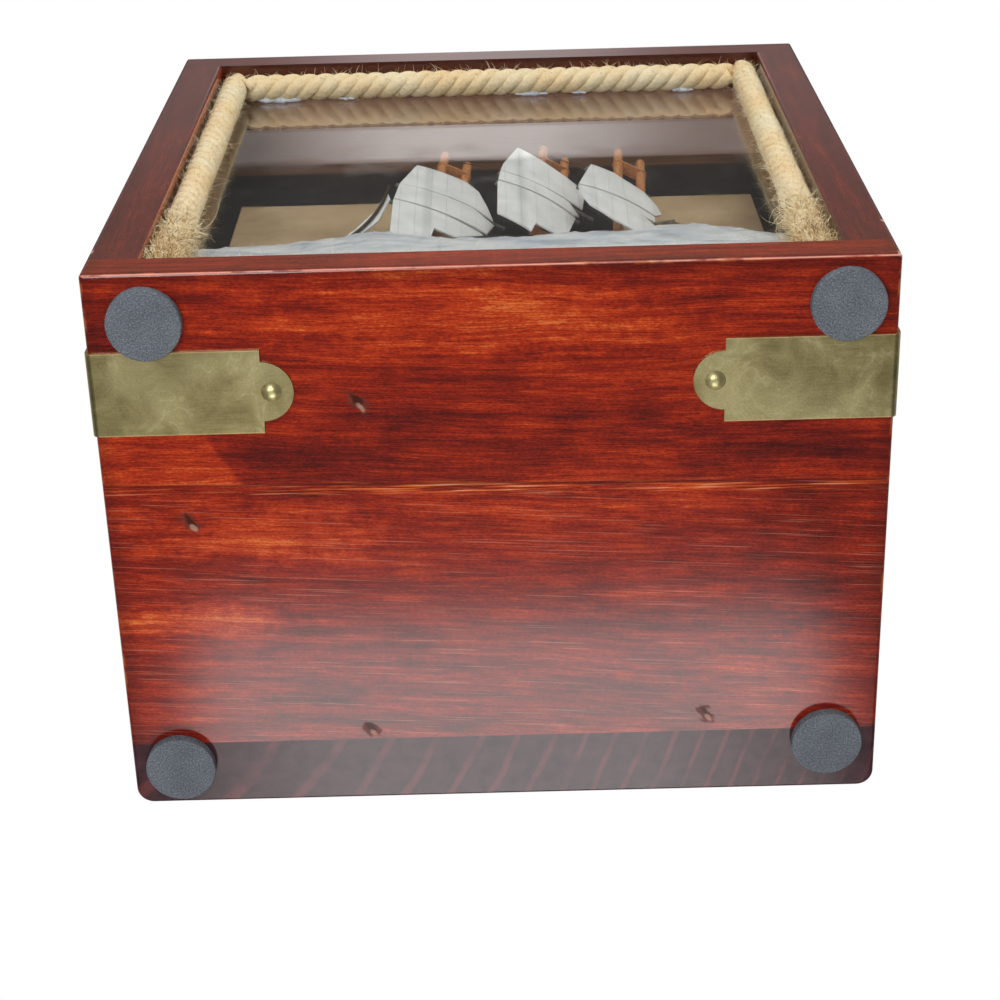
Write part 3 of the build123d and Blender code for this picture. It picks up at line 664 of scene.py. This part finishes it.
def glass_material():
    """Clear pane: real glass to the eye, and open to the light that falls through it."""
    made, tree = emptied(bpy.data.materials.new("window glass"))
    place, = source(tree, "ShaderNodeTexCoord", "Object")
    pane = shader(tree, "ShaderNodeBsdfPrincipled", {
        "Base Color": srgb(250, 251, 250), "IOR": 1.5, "Transmission Weight": 1.0, "Metallic": 0.0,
        "Roughness": place.noise(60.0, detail=4.0).step(0.4, 0.7, 0.0, 0.04)})
    clear = shader(tree, "ShaderNodeBsdfTransparent", {"Color": srgb(250, 251, 250)})
    light = most(*source(tree, "ShaderNodeLightPath", "Is Shadow Ray", "Is Diffuse Ray"))
    add_node(tree, "ShaderNodeOutputMaterial", {"Surface": blend(light, pane, clear)})
    return made


MASTS = ("fore", "main", "mizzen")
# each finish, and the CAD nodes that wear it; the rest go on the pieces below
BUILDS = {
    "underside wood": (build_underside, ["bottom_front_plank", "bottom_rear_plank"]),
    "back board wood": (build_back, ["back_board"]),
    "upright wood": (board("ZXY", 2.6, (0.0, -60.0, -20.0), 5.0), ["left_side", "right_side"]),
    "top wood": (board("XYZ", 5.2, (0.0, 10.0, 150.0), 4.0), ["top_front_board"]),
    "lid wood": (board("XYZ", 6.9, (0.0, 40.0, 160.0), 4.4, 0.04), ["lid_board"]),
    "aged brass": (build_brass, [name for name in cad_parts
                                 if name.startswith(("strap_b", "strap_t", "hinge_"))]),
    "domed nails": (build_dome, ["strap_nails"]),
    "foam": (build_foam, []),
    "jute rope": (build_rope, []),
    "loose fibre": (build_fibre, []),
    "thread": (streaked((2.0, 2.0, 2.0), 2.0, (0.3, (52, 44, 38)), (0.7, (92, 80, 66)), 0.9, 0.0), []),
    "glue": (streaked((0.8, 0.8, 0.8), 2.0, (0.35, (186, 198, 212)), (0.65, (228, 234, 240)), 0.2,
                      0.0002), []),
    "sails": (build_sail, [f"{mast}_sails" for mast in MASTS] + ["head_sails"]),
    "tan canvas": (streaked((0.5, 0.5, 0.12), 4.0, (0.35, (84, 66, 50)), (0.65, (140, 116, 90)), 0.85),
                   ["spanker_sail"]),
    "pole wood": (streaked((2.0, 2.0, 0.3), 3.0, (0.3, (176, 112, 66)), (0.7, (226, 160, 104)), 0.6),
                  [f"{mast}_{pole}" for mast in MASTS for pole in ("topmast", "lower_mast")]
                  + ["bowsprit"]),
    "dark yards": (streaked((1.4, 1.4, 1.4), 3.0, (0.3, (92, 88, 84)), (0.7, (140, 136, 130)), 0.6),
                   [f"{mast}_yards" for mast in MASTS] + ["spanker_spars"]),
    "hull": (streaked((0.1, 1.2, 1.2), 3.0, (0.3, (34, 27, 24)), (0.7, (66, 50, 42)), 0.45),
             ["ship_hull"]),
    "deck planks": (build_deck, ["ship_deck", "deck_houses"]),
    "sea": (build_sea, ["sea"]),
    "aged card": (build_card, ["chart_card", "chart_card_right"]),
    "black panel": (build_black, ["backing_panel"]),
}
FINISH = {name: material(name, build) for name, (build, _) in BUILDS.items()}


def dress(names, finish):
    for name in names:
        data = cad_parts[name].data
        data.materials.clear()
        data.materials.append(finish)


dress(["glass_pane"], glass_material())
for finish, (_, names) in BUILDS.items():
    dress(names, FINISH[finish])

# ---- surfaces --------------------------------------------------------------------------------------


def in_scene(name, data):
    """A new object, linked to the scene."""
    made = bpy.data.objects.new(name, data)
    bpy.context.scene.collection.objects.link(made)
    return made


def piece(name, points, faces, finish, uv=None):
    """A smooth mesh object from arrays of points and faces, riding on the case."""
    mesh = bpy.data.meshes.new(name)
    mesh.from_pydata(points.tolist(), [], faces)
    mesh.polygons.foreach_set("use_smooth", np.ones(len(mesh.polygons), bool))
    mesh.materials.append(FINISH[finish])
    if uv is not None:
        corner = np.zeros(len(mesh.loops), np.int32)
        mesh.loops.foreach_get("vertex_index", corner)
        mesh.uv_layers.new(name="lay").data.foreach_set("uv", uv[corner].astype(np.float32).ravel())
    made = in_scene(name, mesh)
    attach(made, "case")
    return made


def unit(vectors):
    return vectors / np.linalg.norm(vectors, axis=-1, keepdims=True)


def tube_faces(rings, sides, starts=0):
    """Faces of closed tubes: quads from ring to ring of their points, then a flat cap at each end. starts
    is the index of each tube's first point."""
    starts = np.reshape(starts, (-1, 1, 1))
    ring, side = np.meshgrid(np.arange(rings - 1) * sides, np.arange(sides), indexing="ij")
    after = (side + 1) % sides
    quads = np.stack([ring + side, ring + after, ring + sides + after, ring + sides + side], -1)
    caps = np.stack([np.arange(sides)[::-1], (rings - 1) * sides + np.arange(sides)])
    return ((quads.reshape(-1, 4) + starts).reshape(-1, 4).tolist()
            + (caps + starts).reshape(-1, sides).tolist())


def tube(sides, path, radius, lead=(0.31, 0.87, 0.38)):
    """The points of a tube round a path, and their UVs, u along and v round: rings at radius, one value
    or one for each point of the path, in the plane across it, each begun square to the path and to
    lead."""
    ahead = unit(np.gradient(path, axis=0))
    side = unit(np.cross(ahead, np.broadcast_to(lead, path.shape)))
    other = np.cross(ahead, side)
    angle = np.linspace(0, math.tau, sides, endpoint=False)
    reach = np.broadcast_to(radius, (len(path), sides))[..., None]
    ring = path[:, None] + reach * (np.cos(angle)[None, :, None] * side[:, None]
                                    + np.sin(angle)[None, :, None] * other[:, None])
    run = np.concatenate([[0], np.cumsum(np.linalg.norm(np.diff(path, axis=0), axis=1))]) / MM
    uv = np.stack(np.broadcast_arrays(run[:, None], (angle / math.tau)[None, :]), -1)
    return ring.reshape(-1, 3), uv.reshape(-1, 2)


def tubes(name, sides, given, finish, with_uv=False):
    """One piece of several tubes, each given by its path, its radius and maybe its lead."""
    points, faces, uvs = [], [], []
    for shape in given:
        made, uv = tube(sides, *shape)
        faces += tube_faces(len(made) // sides, sides, sum(map(len, points)))
        points.append(made)
        uvs.append(uv)
    return piece(name, np.concatenate(points), faces, finish,
                 np.concatenate(uvs) if with_uv else None)


# ---- ropes -----------------------------------------------------------------------------------------

ROPE_PITCH, STRANDS, STRAND_SIDES, STEPS_PER_TURN = 16.5 * MM, 3, 18, 18
# of the rope's radius: how far out a strand's middle lies, its radius, and how deep the fibres are rooted
STRAND_OUT, STRAND_RADIUS, FIBRE_ROOT = 0.44, 0.54, 0.86
# looser and tighter stretches along the rope: how much, and how fast they follow each other
LOOSE_BY, LOOSE_RATE = 0.05, 0.11
# loose fibres: how much their heading leans outwards and strays, how much they bend, how far round the
# circle takes the coiled ones, the points along a straight and a coiled one, and how much thinner a tip is
LEAN_OUT, STRAY, BEND, ROUND, POINTS, COILED_POINTS, TAPER = 0.55, 0.5, 0.6, 5.0, 4, 8, 0.8
# how far apart their shades are drawn
SHADES = 40
# the room that loose fibres have
RECESS_LOW = np.array([INNER_LEFT, FRONT, Z_FLOOR]) + 0.2 * MM
RECESS_HIGH = np.array([INNER_RIGHT, GLASS_FRONT, INNER_TOP]) - 0.2 * MM
# each rope's axis, and its loose fibres to the millimetre
ROPES = {"rope_left": (2, 20), "rope_right": (2, 20), "rope_bottom": (0, 20), "rope_top": (0, 12)}
# the frayed feet: where above the rope's end they begin and stop, their radius to the rope's, how many
# fibres, and what the fibres are like
FRAYED_FROM, FRAYED_TO, FRAYED_RADIUS, FRAYED_COUNT = 6 * MM, 48 * MM, 1.08, 1500
FRAYED = {"lengths": (1.5, 4.2), "width": 0.11, "coil": 0.5, "gather": 1.5}


def rope_frame(start, end):
    """The unit direction of a rope and two unit directions across it."""
    axis = unit(end - start)
    across = unit(np.cross(axis, [0.0, 1.0, 0.0]))
    return axis, across, np.cross(across, axis)


def outward(angle, across, upward):
    return np.cos(angle)[:, None] * across + np.sin(angle)[:, None] * upward


def laid_rope(name, start, end, radius, phase):
    """Three strands round a straight line: each strand's middle is a helix, and the strands are thick
    enough to press into one another."""
    axis, across, upward = rope_frame(start, end)
    length = np.linalg.norm(end - start)
    s = np.linspace(0, 1, int(length / ROPE_PITCH * STEPS_PER_TURN)) * length
    strands = []
    for strand in range(STRANDS):
        out = outward(math.tau * (s / ROPE_PITCH + strand / STRANDS) + phase, across, upward)
        loose = 1 + LOOSE_BY * np.sin(s / MM * LOOSE_RATE + phase + strand)
        path = start + axis * s[:, None] + out * (STRAND_OUT * radius * loose)[:, None]
        strands.append((path, radius * STRAND_RADIUS, out))
    rope = tubes(name, STRAND_SIDES, strands, "jute rope", with_uv=True)
    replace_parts(rope, name.replace("laid_", ""))


def fuzz(name, start, end, radius, count, seed, lengths=(0.8, 3.0), width=0.07, coil=0.0, gather=1.0):
    """Loose fibres on a rope, mostly short: thin three-sided tubes from its surface, each along a
    parabola out in a random direction, with part of a circle added to it,
    point = root + length * (direction * t + curl * t squared + coil * circle(t)). gather above 1 draws
    them towards the start."""
    dice = np.random.default_rng(seed)
    axis, across, upward = rope_frame(start, end)
    place, angle = dice.random(count) ** gather, dice.random(count) * math.tau
    out = outward(angle, across, upward)
    root = start + (end - start) * place[:, None] + out * radius * FIBRE_ROOT
    heading = unit(out * LEAN_OUT + axis * dice.normal(0, 1, (count, 1))
                   + dice.normal(0, STRAY, (count, 3)))
    curl = dice.normal(0, BEND, (count, 3))
    long = (lengths[0] + (lengths[1] - lengths[0]) * dice.random((count, 1, 1)) ** 2) * MM
    steps = COILED_POINTS if coil else POINTS
    t = np.linspace(0, 1, steps)[None, :, None]
    side = unit(np.cross(heading, dice.normal(0, 1, (count, 3))))
    turn = ROUND * t + dice.random((count, 1, 1)) * math.tau
    circle = coil * ((np.sin(turn) - np.sin(turn[:, :1])) * side[:, None]
                     + (np.cos(turn) - np.cos(turn[:, :1])) * heading[:, None])
    line = root[:, None] + long * (heading[:, None] * t + curl[:, None] * t ** 2 + circle)
    thin = width * MM * (1 - TAPER * t)
    other = np.cross(heading, side)[:, None]
    points = np.stack([line + thin * (math.cos(corner) * side[:, None] + math.sin(corner) * other)
                       for corner in (0, math.tau / 3, math.tau * 2 / 3)], 2)
    points = np.clip(points.reshape(-1, 3), RECESS_LOW, RECESS_HIGH)
    # each fibre is one shade
    uv = np.repeat(dice.random((count, 2)) * SHADES, 3 * steps, axis=0)
    piece(name, points, tube_faces(steps, 3, np.arange(count) * 3 * steps), "loose fibre", uv)


for rope_name, (along, thickly) in ROPES.items():
    low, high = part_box(rope_name)
    start, end = np.array([(low + high) / 2] * 2)
    start[along], end[along] = low[along], high[along]
    rope_radius = (high.y - low.y) / 2
    number = len(rope_name)
    laid_rope(f"laid_{rope_name}", start, end, rope_radius, 0.7 * number)
    fuzz(f"fuzz_{rope_name}", start, end, rope_radius, int(thickly * (end[along] - start[along]) / MM),
         number)
    if along == 2:
        # its cut foot has frayed
        foot, above = start + [0, 0, FRAYED_FROM], start + [0, 0, FRAYED_TO]
        fuzz(f"frayed_{rope_name}", foot, above, rope_radius * FRAYED_RADIUS, FRAYED_COUNT, number,
             **FRAYED)

# ---- foot pads -------------------------------------------------------------------------------------

PAD_SIDES, PAD_RIM, PAD_BULGE = 72, 0.45 * MM, 0.006
# the step down onto the strap, and how long the slope to it is
STRAP_DROP, STRAP_SLOPE = 0.7 * MM, 0.6 * MM


def foam_pad(node, on_strap):
    """A round pad: radius and height follow a rounded rim, its side bulges a little, and its upper face
    drops by the strap's thickness where it lies on the strap."""
    low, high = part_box(node)
    middle, radius = (low + high) / 2, (high.x - low.x) / 2
    thick = high.z - low.z
    # profile from the middle of the lower face, round the side, to the middle of the upper face
    bend = np.linspace(0, math.pi / 2, 6)
    rim_r = radius - PAD_RIM + PAD_RIM * np.sin(bend)
    rim_z = PAD_RIM - PAD_RIM * np.cos(bend)
    r = np.concatenate([radius * np.array([0.0, 0.35, 0.7, 0.9]), rim_r, rim_r[::-1],
                        radius * np.array([0.9, 0.6, 0.3, 0.0])])[:, None]
    z = np.concatenate([np.zeros(4), rim_z, thick - rim_z[::-1], np.full(4, thick)])[:, None]
    r[0] = r[-1] = 0.01 * MM
    theta = np.linspace(0, math.tau, PAD_SIDES, endpoint=False)
    r = r * (1 - PAD_BULGE * (1 + np.sin(3 * theta + middle.x * 90)) * (z / thick))
    x, y = middle.x + r * np.cos(theta), middle.y + r * np.sin(theta)
    over = np.clip((y - STRAP_NEAR) / STRAP_SLOPE, 0, 1) * (z > thick / 2) * on_strap
    points = np.stack([x, y, low.z + z - STRAP_DROP * over], -1)
    pad = piece(f"soft_{node}", points.reshape(-1, 3), tube_faces(len(z), PAD_SIDES), "foam")
    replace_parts(pad, node)


for pad_end, on_strap in (("front", True), ("rear", False)):
    for pad_side in ("left", "right"):
        foam_pad(f"foot_pad_{pad_end}_{pad_side}", on_strap)

# ---- sea -------------------------------------------------------------------------------------------

SEA_FOOT, SEA_LEDGE = 24.0 * MM, FRONT + 20.0 * MM
# height of the crest in front of the ship, at distances from the case's left
SEA_CREST = [(13, 70.1), (21, 71.7), (34, 73.8), (47.5, 75.5), (58.7, 79.8), (70, 84.9), (79, 80.7),
             (87, 76.7), (110, 75.5), (121, 78.9), (132, 79.0), (143, 78.7), (149, 83.1), (160.5, 83.9),
             (177.5, 74.7), (190.2, 70.3)]
# points across the case, up the slope and back along the top, and how many the crest is smoothed over
SEA_ACROSS, SEA_UP, SEA_BACK, SEA_SMOOTH = 260, 64, 11, 11
# waves: length, height, lean, size; and how far each moves the surface forwards and upwards
WAVES = [(13.0, 9.0, 0.3, 0.5), (6.1, 4.3, -0.5, 0.3), (3.3, 2.2, 0.8, 0.14)]
WAVE_FORWARD, WAVE_UP = 0.6 * MM, 0.5 * MM
# how far the foot stands off the glass, how much higher the back is than the crest, and how wide the waves
# fade towards the sides and the back, and above the foot
SEA_OFF_GLASS, SEA_RISE, SEA_FADE, SEA_FOOT_FADE = 0.7 * MM, 3 * MM, 3 * MM, 8 * MM


def build_relief():
    """The painted sea, closed all round. In front it rises as a quarter ellipse from its foot at the
    glass to the crest, then runs straight back to the card, rising a little; steep little waves, each one
    minus the size of a sine, stand out of it and fade towards its four edges."""
    low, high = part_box("sea")
    x = np.linspace(low.x, high.x, SEA_ACROSS)[:, None]
    crest = np.interp((x[:, 0] - LEFT) / MM, *zip(*SEA_CREST)) * MM
    crest = np.convolve(np.pad(crest, SEA_SMOOTH // 2, mode="edge"), np.ones(SEA_SMOOTH) / SEA_SMOOTH,
                        "valid")[:, None]
    rise = np.linspace(0, math.pi / 2, SEA_UP)
    run = np.linspace(0, 1, SEA_BACK + 1)[1:]
    foot_y = low.y + SEA_OFF_GLASS
    y = np.concatenate([foot_y + (SEA_LEDGE - foot_y) * (1 - np.cos(rise)),
                        SEA_LEDGE + (high.y - SEA_LEDGE) * run])
    z = np.hstack([SEA_FOOT + (crest - SEA_FOOT) * np.sin(rise), crest + SEA_RISE * run])
    wide, deep = x / MM, (z + y) / MM
    waves = 0.0
    for long, tall, lean, size in WAVES:
        bend = 1.1 * np.sin(wide / long * 2.2 + deep / tall)
        waves = waves + size * (1 - np.abs(np.sin(math.pi * (wide / long + lean * deep / tall) + bend)))
    fade = (np.minimum(1, np.minimum(x - low.x, high.x - x) / SEA_FADE)
            * np.clip((z - SEA_FOOT) / SEA_FOOT_FADE, 0, 1) * np.clip((high.y - y) / SEA_FADE, 0, 1))
    y = y - waves * fade * WAVE_FORWARD
    z = np.minimum(z + waves * fade * WAVE_UP, high.z)
    side, columns = (SEA_ACROSS, 1), SEA_UP + SEA_BACK + 2
    y = np.hstack([np.full(side, foot_y), y, np.full(side, high.y)])
    z = np.hstack([np.full(side, low.z), z, np.full(side, low.z)])
    points = np.stack(np.broadcast_arrays(x, y, z), -1).reshape(-1, 3)
    # the grid runs upwards and to the right, so its faces are turned to face out
    faces = [face[::-1] for face in tube_faces(SEA_ACROSS, columns)]
    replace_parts(piece("sea_relief", points, faces, "sea"), "sea")


build_relief()

# ---- glue ------------------------------------------------------------------------------------------

# beads squeezed out along the top of the glass: middle across the case, half length, thickness
GLUE = [(-69.5, 7.5, 1.0), (-47.0, 3.0, 0.5), (14.0, 5.5, 0.8), (30.0, 3.0, 0.5), (64.0, 3.6, 0.8)]
# their place, how far below the top board, how much they wander and how lumpy they are
GLUE_Y, GLUE_DROP, GLUE_WANDER, GLUE_LUMP = FRONT + 10.2 * MM, 6.6, 0.25, 0.2
GLUE_STEPS, GLUE_SIDES = 28, 12


def glue_bead(middle, half, thick):
    """The path along X and the radius of a lumpy bead: a half circle with a small ripple."""
    t = np.linspace(-1, 1, GLUE_STEPS)
    path = np.stack([(middle + half * t) * MM, np.full(GLUE_STEPS, GLUE_Y),
                     INNER_TOP - (GLUE_DROP + GLUE_WANDER * np.sin(7 * t + middle)) * MM], -1)
    lump = np.sqrt(1.0001 - t ** 2) * (1 + GLUE_LUMP * np.sin(9 * t + half))
    return path, (thick * lump * MM)[:, None]


tubes("glue", GLUE_SIDES, [glue_bead(*bead) for bead in GLUE], "glue")

# ---- rigging ---------------------------------------------------------------------------------------

SHIP_HEEL, SHIP_PITCH = math.radians(3.0), math.radians(3.2)
SHIP_MIDDLE = np.array([14.5 * MM, FRONT + 27.0 * MM, 86.7 * MM])
SHIP_AFT = np.array([math.cos(SHIP_PITCH), 0.0, -math.sin(SHIP_PITCH)])
SHIP_UP = np.array([math.cos(SHIP_HEEL) * math.sin(SHIP_PITCH), -math.sin(SHIP_HEEL),
                    math.cos(SHIP_HEEL) * math.cos(SHIP_PITCH)])
SHIP_FAR = np.cross(SHIP_UP, SHIP_AFT)
# fore, main and mizzen topmast: place along and across the ship, and head
TOPMASTS = [(-33.2, -1.6, 76.6), (-2.2, -1.8, 80.7), (21.6, -1.7, 77.6)]
# where the far shrouds are tied on the deck: how far behind their topmast, across the ship, how high
SHROUDS = [(7.0, 3.9, 0.6), (10.0, 3.9, 0.6), (13.0, 3.9, 0.6)]
# how far below their topmast's head the shrouds, a stay's fore end and its aft end are tied
SHROUD_BELOW, STAY_FORE, STAY_AFT = 14, 3, 26
THREAD_RADIUS, FORESTAY_RADIUS, THREAD_SIDES, FORESTAY_STEPS = 0.14 * MM, 0.5 * MM, 8, 24
# forestay, which sags: its four Bezier points in the ship
FORESTAY = [(-64.5, -3.2, -11.0), (-53.5, -3.2, 3.0), (-48.4, -3.2, 20.0), (-48.2, -3.0, 46.0)]


def in_ship(points):
    """Rows of distances aft, across and up the ship, as places in the case."""
    return SHIP_MIDDLE + MM * np.array(points) @ np.stack([SHIP_AFT, SHIP_FAR, SHIP_UP])


def build_rigging():
    """Far shrouds, stays between the masts and the thick forestay, as tubes in one mesh. The forestay is
    the cubic Bezier curve of its four points; the rest are straight."""
    lines = [[(aft + back, far, up), (aft, across, head - SHROUD_BELOW)]
             for aft, across, head in TOPMASTS for back, far, up in SHROUDS]
    lines += [[(aft, across, head - STAY_FORE), (next_aft, next_across, next_head - STAY_AFT)]
              for (aft, across, head), (next_aft, next_across, next_head) in zip(TOPMASTS, TOPMASTS[1:])]
    t = np.linspace(0, 1, FORESTAY_STEPS)[:, None]
    corners = in_ship(FORESTAY)
    curve = ((1 - t) ** 3 * corners[0] + 3 * (1 - t) ** 2 * t * corners[1]
             + 3 * (1 - t) * t ** 2 * corners[2] + t ** 3 * corners[3])
    threads = [(in_ship(line), THREAD_RADIUS) for line in lines] + [(curve, FORESTAY_RADIUS)]
    tubes("rigging", THREAD_SIDES, threads, "thread")


build_rigging()

# ---- floor, light and camera -----------------------------------------------------------------------

# the floor's size, and where from its middle it turns from pale to plain white, with how white it starts
FLOOR_REACH, FLOOR_TURN, FLOOR_WHITE = 12.0, (0.10, 0.75), 0.2
# how far past the object, sideways and forwards, the floor lets mirrored rays through to the lamps below
FLOOR_MARGIN_X, FLOOR_MARGIN_Y = 0.001, 0.003
# the room's brightness: to dull surfaces, and mirrored from below, from around and from the ceiling
ROOM_EVEN, ROOM_BELOW, ROOM_LEVEL, ROOM_ABOVE = 0.38, 0.14, 0.7, 0.05
# a pale ceiling lamp seen in gloss only: how bright, its edge forwards and how it fades sideways, both as
# slopes from straight up
CEILING_LAMP, CEILING_EDGE, CEILING_SIDE = 0.95, (0.2950, 0.2990), (0.02, 0.11)
CAMERA_PLACE = (3.56 * MM, -256.2 * MM, -500.3 * MM)
CAMERA_PITCH, CAMERA_ROLL, CAMERA_YAW = 154.448, 0.380, 1.440
CAMERA_LENS = 77.63


def build_floor():
    """A pale floor that is seen, and keeps shadows, from above only. Away from the object it is plain
    white, like the room behind it. It hides the lamps below it from the object's upright sides, as a dim
    surface seen in gloss everywhere but under the object. All other rays pass it."""
    made, tree = emptied(bpy.data.materials.new("pale floor"))
    spot, = source(tree, "ShaderNodeTexCoord", "Object")
    camera_ray, glossy_ray = source(tree, "ShaderNodeLightPath", "Is Camera Ray", "Is Glossy Ray")
    from_below, = source(tree, "ShaderNodeNewGeometry", "Backfacing")
    x, y, _ = spot.parts()
    pale = shader(tree, "ShaderNodeBsdfDiffuse", {"Color": srgb(244, 244, 243)})
    white = shader(tree, "ShaderNodeEmission", {"Color": WHITE, "Strength": 1.0})
    ground = blend(spot.length().step(*FLOOR_TURN, FLOOR_WHITE, 1.0), pale, white)
    beside = most(calculate("GREATER_THAN", abs(x), cad_high.x + FLOOR_MARGIN_X),
                  calculate("GREATER_THAN", abs(y), cad_high.y + FLOOR_MARGIN_Y))
    hidden = beside * calculate("SUBTRACT", glossy_ray, from_below, clamp=True)
    clear = shader(tree, "ShaderNodeBsdfTransparent")
    dim = shader(tree, "ShaderNodeEmission", {"Color": WHITE, "Strength": ROOM_BELOW})
    seen = calculate("SUBTRACT", camera_ray, from_below, clamp=True)
    surface = blend(seen, blend(hidden, clear, dim), ground)
    add_node(tree, "ShaderNodeOutputMaterial", {"Surface": surface})

    mesh = bpy.data.meshes.new("floor")
    corners = [(x * FLOOR_REACH, y * FLOOR_REACH, 0) for x, y in ((-1, -1), (1, -1), (1, 1), (-1, 1))]
    mesh.from_pydata(corners, [], [(0, 1, 2, 3)])
    mesh.materials.append(made)
    in_scene("floor", mesh)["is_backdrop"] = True


def build_world():
    """White to the camera; a dim even room for the rest, with one pale lamp in its ceiling."""
    world, tree = emptied(bpy.data.worlds.new("room"))
    toward, = source(tree, "ShaderNodeTexCoord", "Generated")
    camera_ray, diffuse_ray, glossy_ray, passing_ray = source(
        tree, "ShaderNodeLightPath",
        "Is Camera Ray", "Is Diffuse Ray", "Is Glossy Ray", "Is Transmission Ray")
    _, _, height = toward.parts()
    rising = height.step(-0.3, 0.1, ROOM_BELOW, ROOM_LEVEL)
    sideways, backwards, _ = (toward / joined(height, height, height)).parts()
    forwards = backwards * -1.0
    lamp = (forwards.fade(*CEILING_EDGE, CEILING_LAMP) * forwards.step(0.15, 0.2)
            * abs(sideways + 0.01).step(*CEILING_SIDE, 1.0, 0.22))
    mirrored = height.step(0.6, 0.8, rising, ROOM_ABOVE) + lamp * height.step(0.5, 0.6)
    level = most(camera_ray, most(diffuse_ray * ROOM_EVEN, most(glossy_ray, passing_ray) * mirrored))
    shade = shader(tree, "ShaderNodeBackground", {"Color": WHITE, "Strength": level})
    add_node(tree, "ShaderNodeOutputWorld", {"Surface": shade})
    bpy.context.scene.world = world


def area_light(name, place, target, size, power, mirrored=True, shape="DISK"):
    data = bpy.data.lights.new(name, "AREA")
    data.shape, data.size, data.energy = shape, size, power
    lamp = in_scene(name, data)
    lamp.location = place
    lamp.rotation_euler = (Vector(target) - Vector(place)).to_track_quat("-Z", "Y").to_euler()
    lamp.visible_camera = False
    lamp.visible_glossy = lamp.visible_transmission = mirrored


def build_camera():
    """Below the floor and in front, looking steeply up at the underside."""
    data = bpy.data.cameras.new("camera")
    data.lens, data.sensor_width = CAMERA_LENS, 36.0
    data.clip_start, data.clip_end = 0.01, 20.0
    camera = in_scene("camera", data)
    camera.location = CAMERA_PLACE
    camera.rotation_euler = [math.radians(angle) for angle in (CAMERA_PITCH, CAMERA_ROLL, CAMERA_YAW)]
    bpy.context.scene.camera = camera


build_floor()
build_world()
area_light("key below the front", (-0.18, -0.32, -0.56), (0.0, -0.02, 0.05), 0.35, 2.4)
area_light("window behind and below", (0.0, 0.72, -0.79), (0.0, 0.05, 0.0), 0.48, 3.4, shape="SQUARE")
area_light("soft light in front", (0.15, -0.95, 0.15), (0.0, 0.0, 0.12), 0.7, 5.8, mirrored=False)
area_light("soft light above", (0.2, 0.1, 1.25), (0.0, 0.0, 0.1), 0.8, 6.0, mirrored=False)
build_camera()

scene = bpy.context.scene
scene.view_settings.view_transform = "Standard"
scene.render.film_transparent = False

low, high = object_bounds()
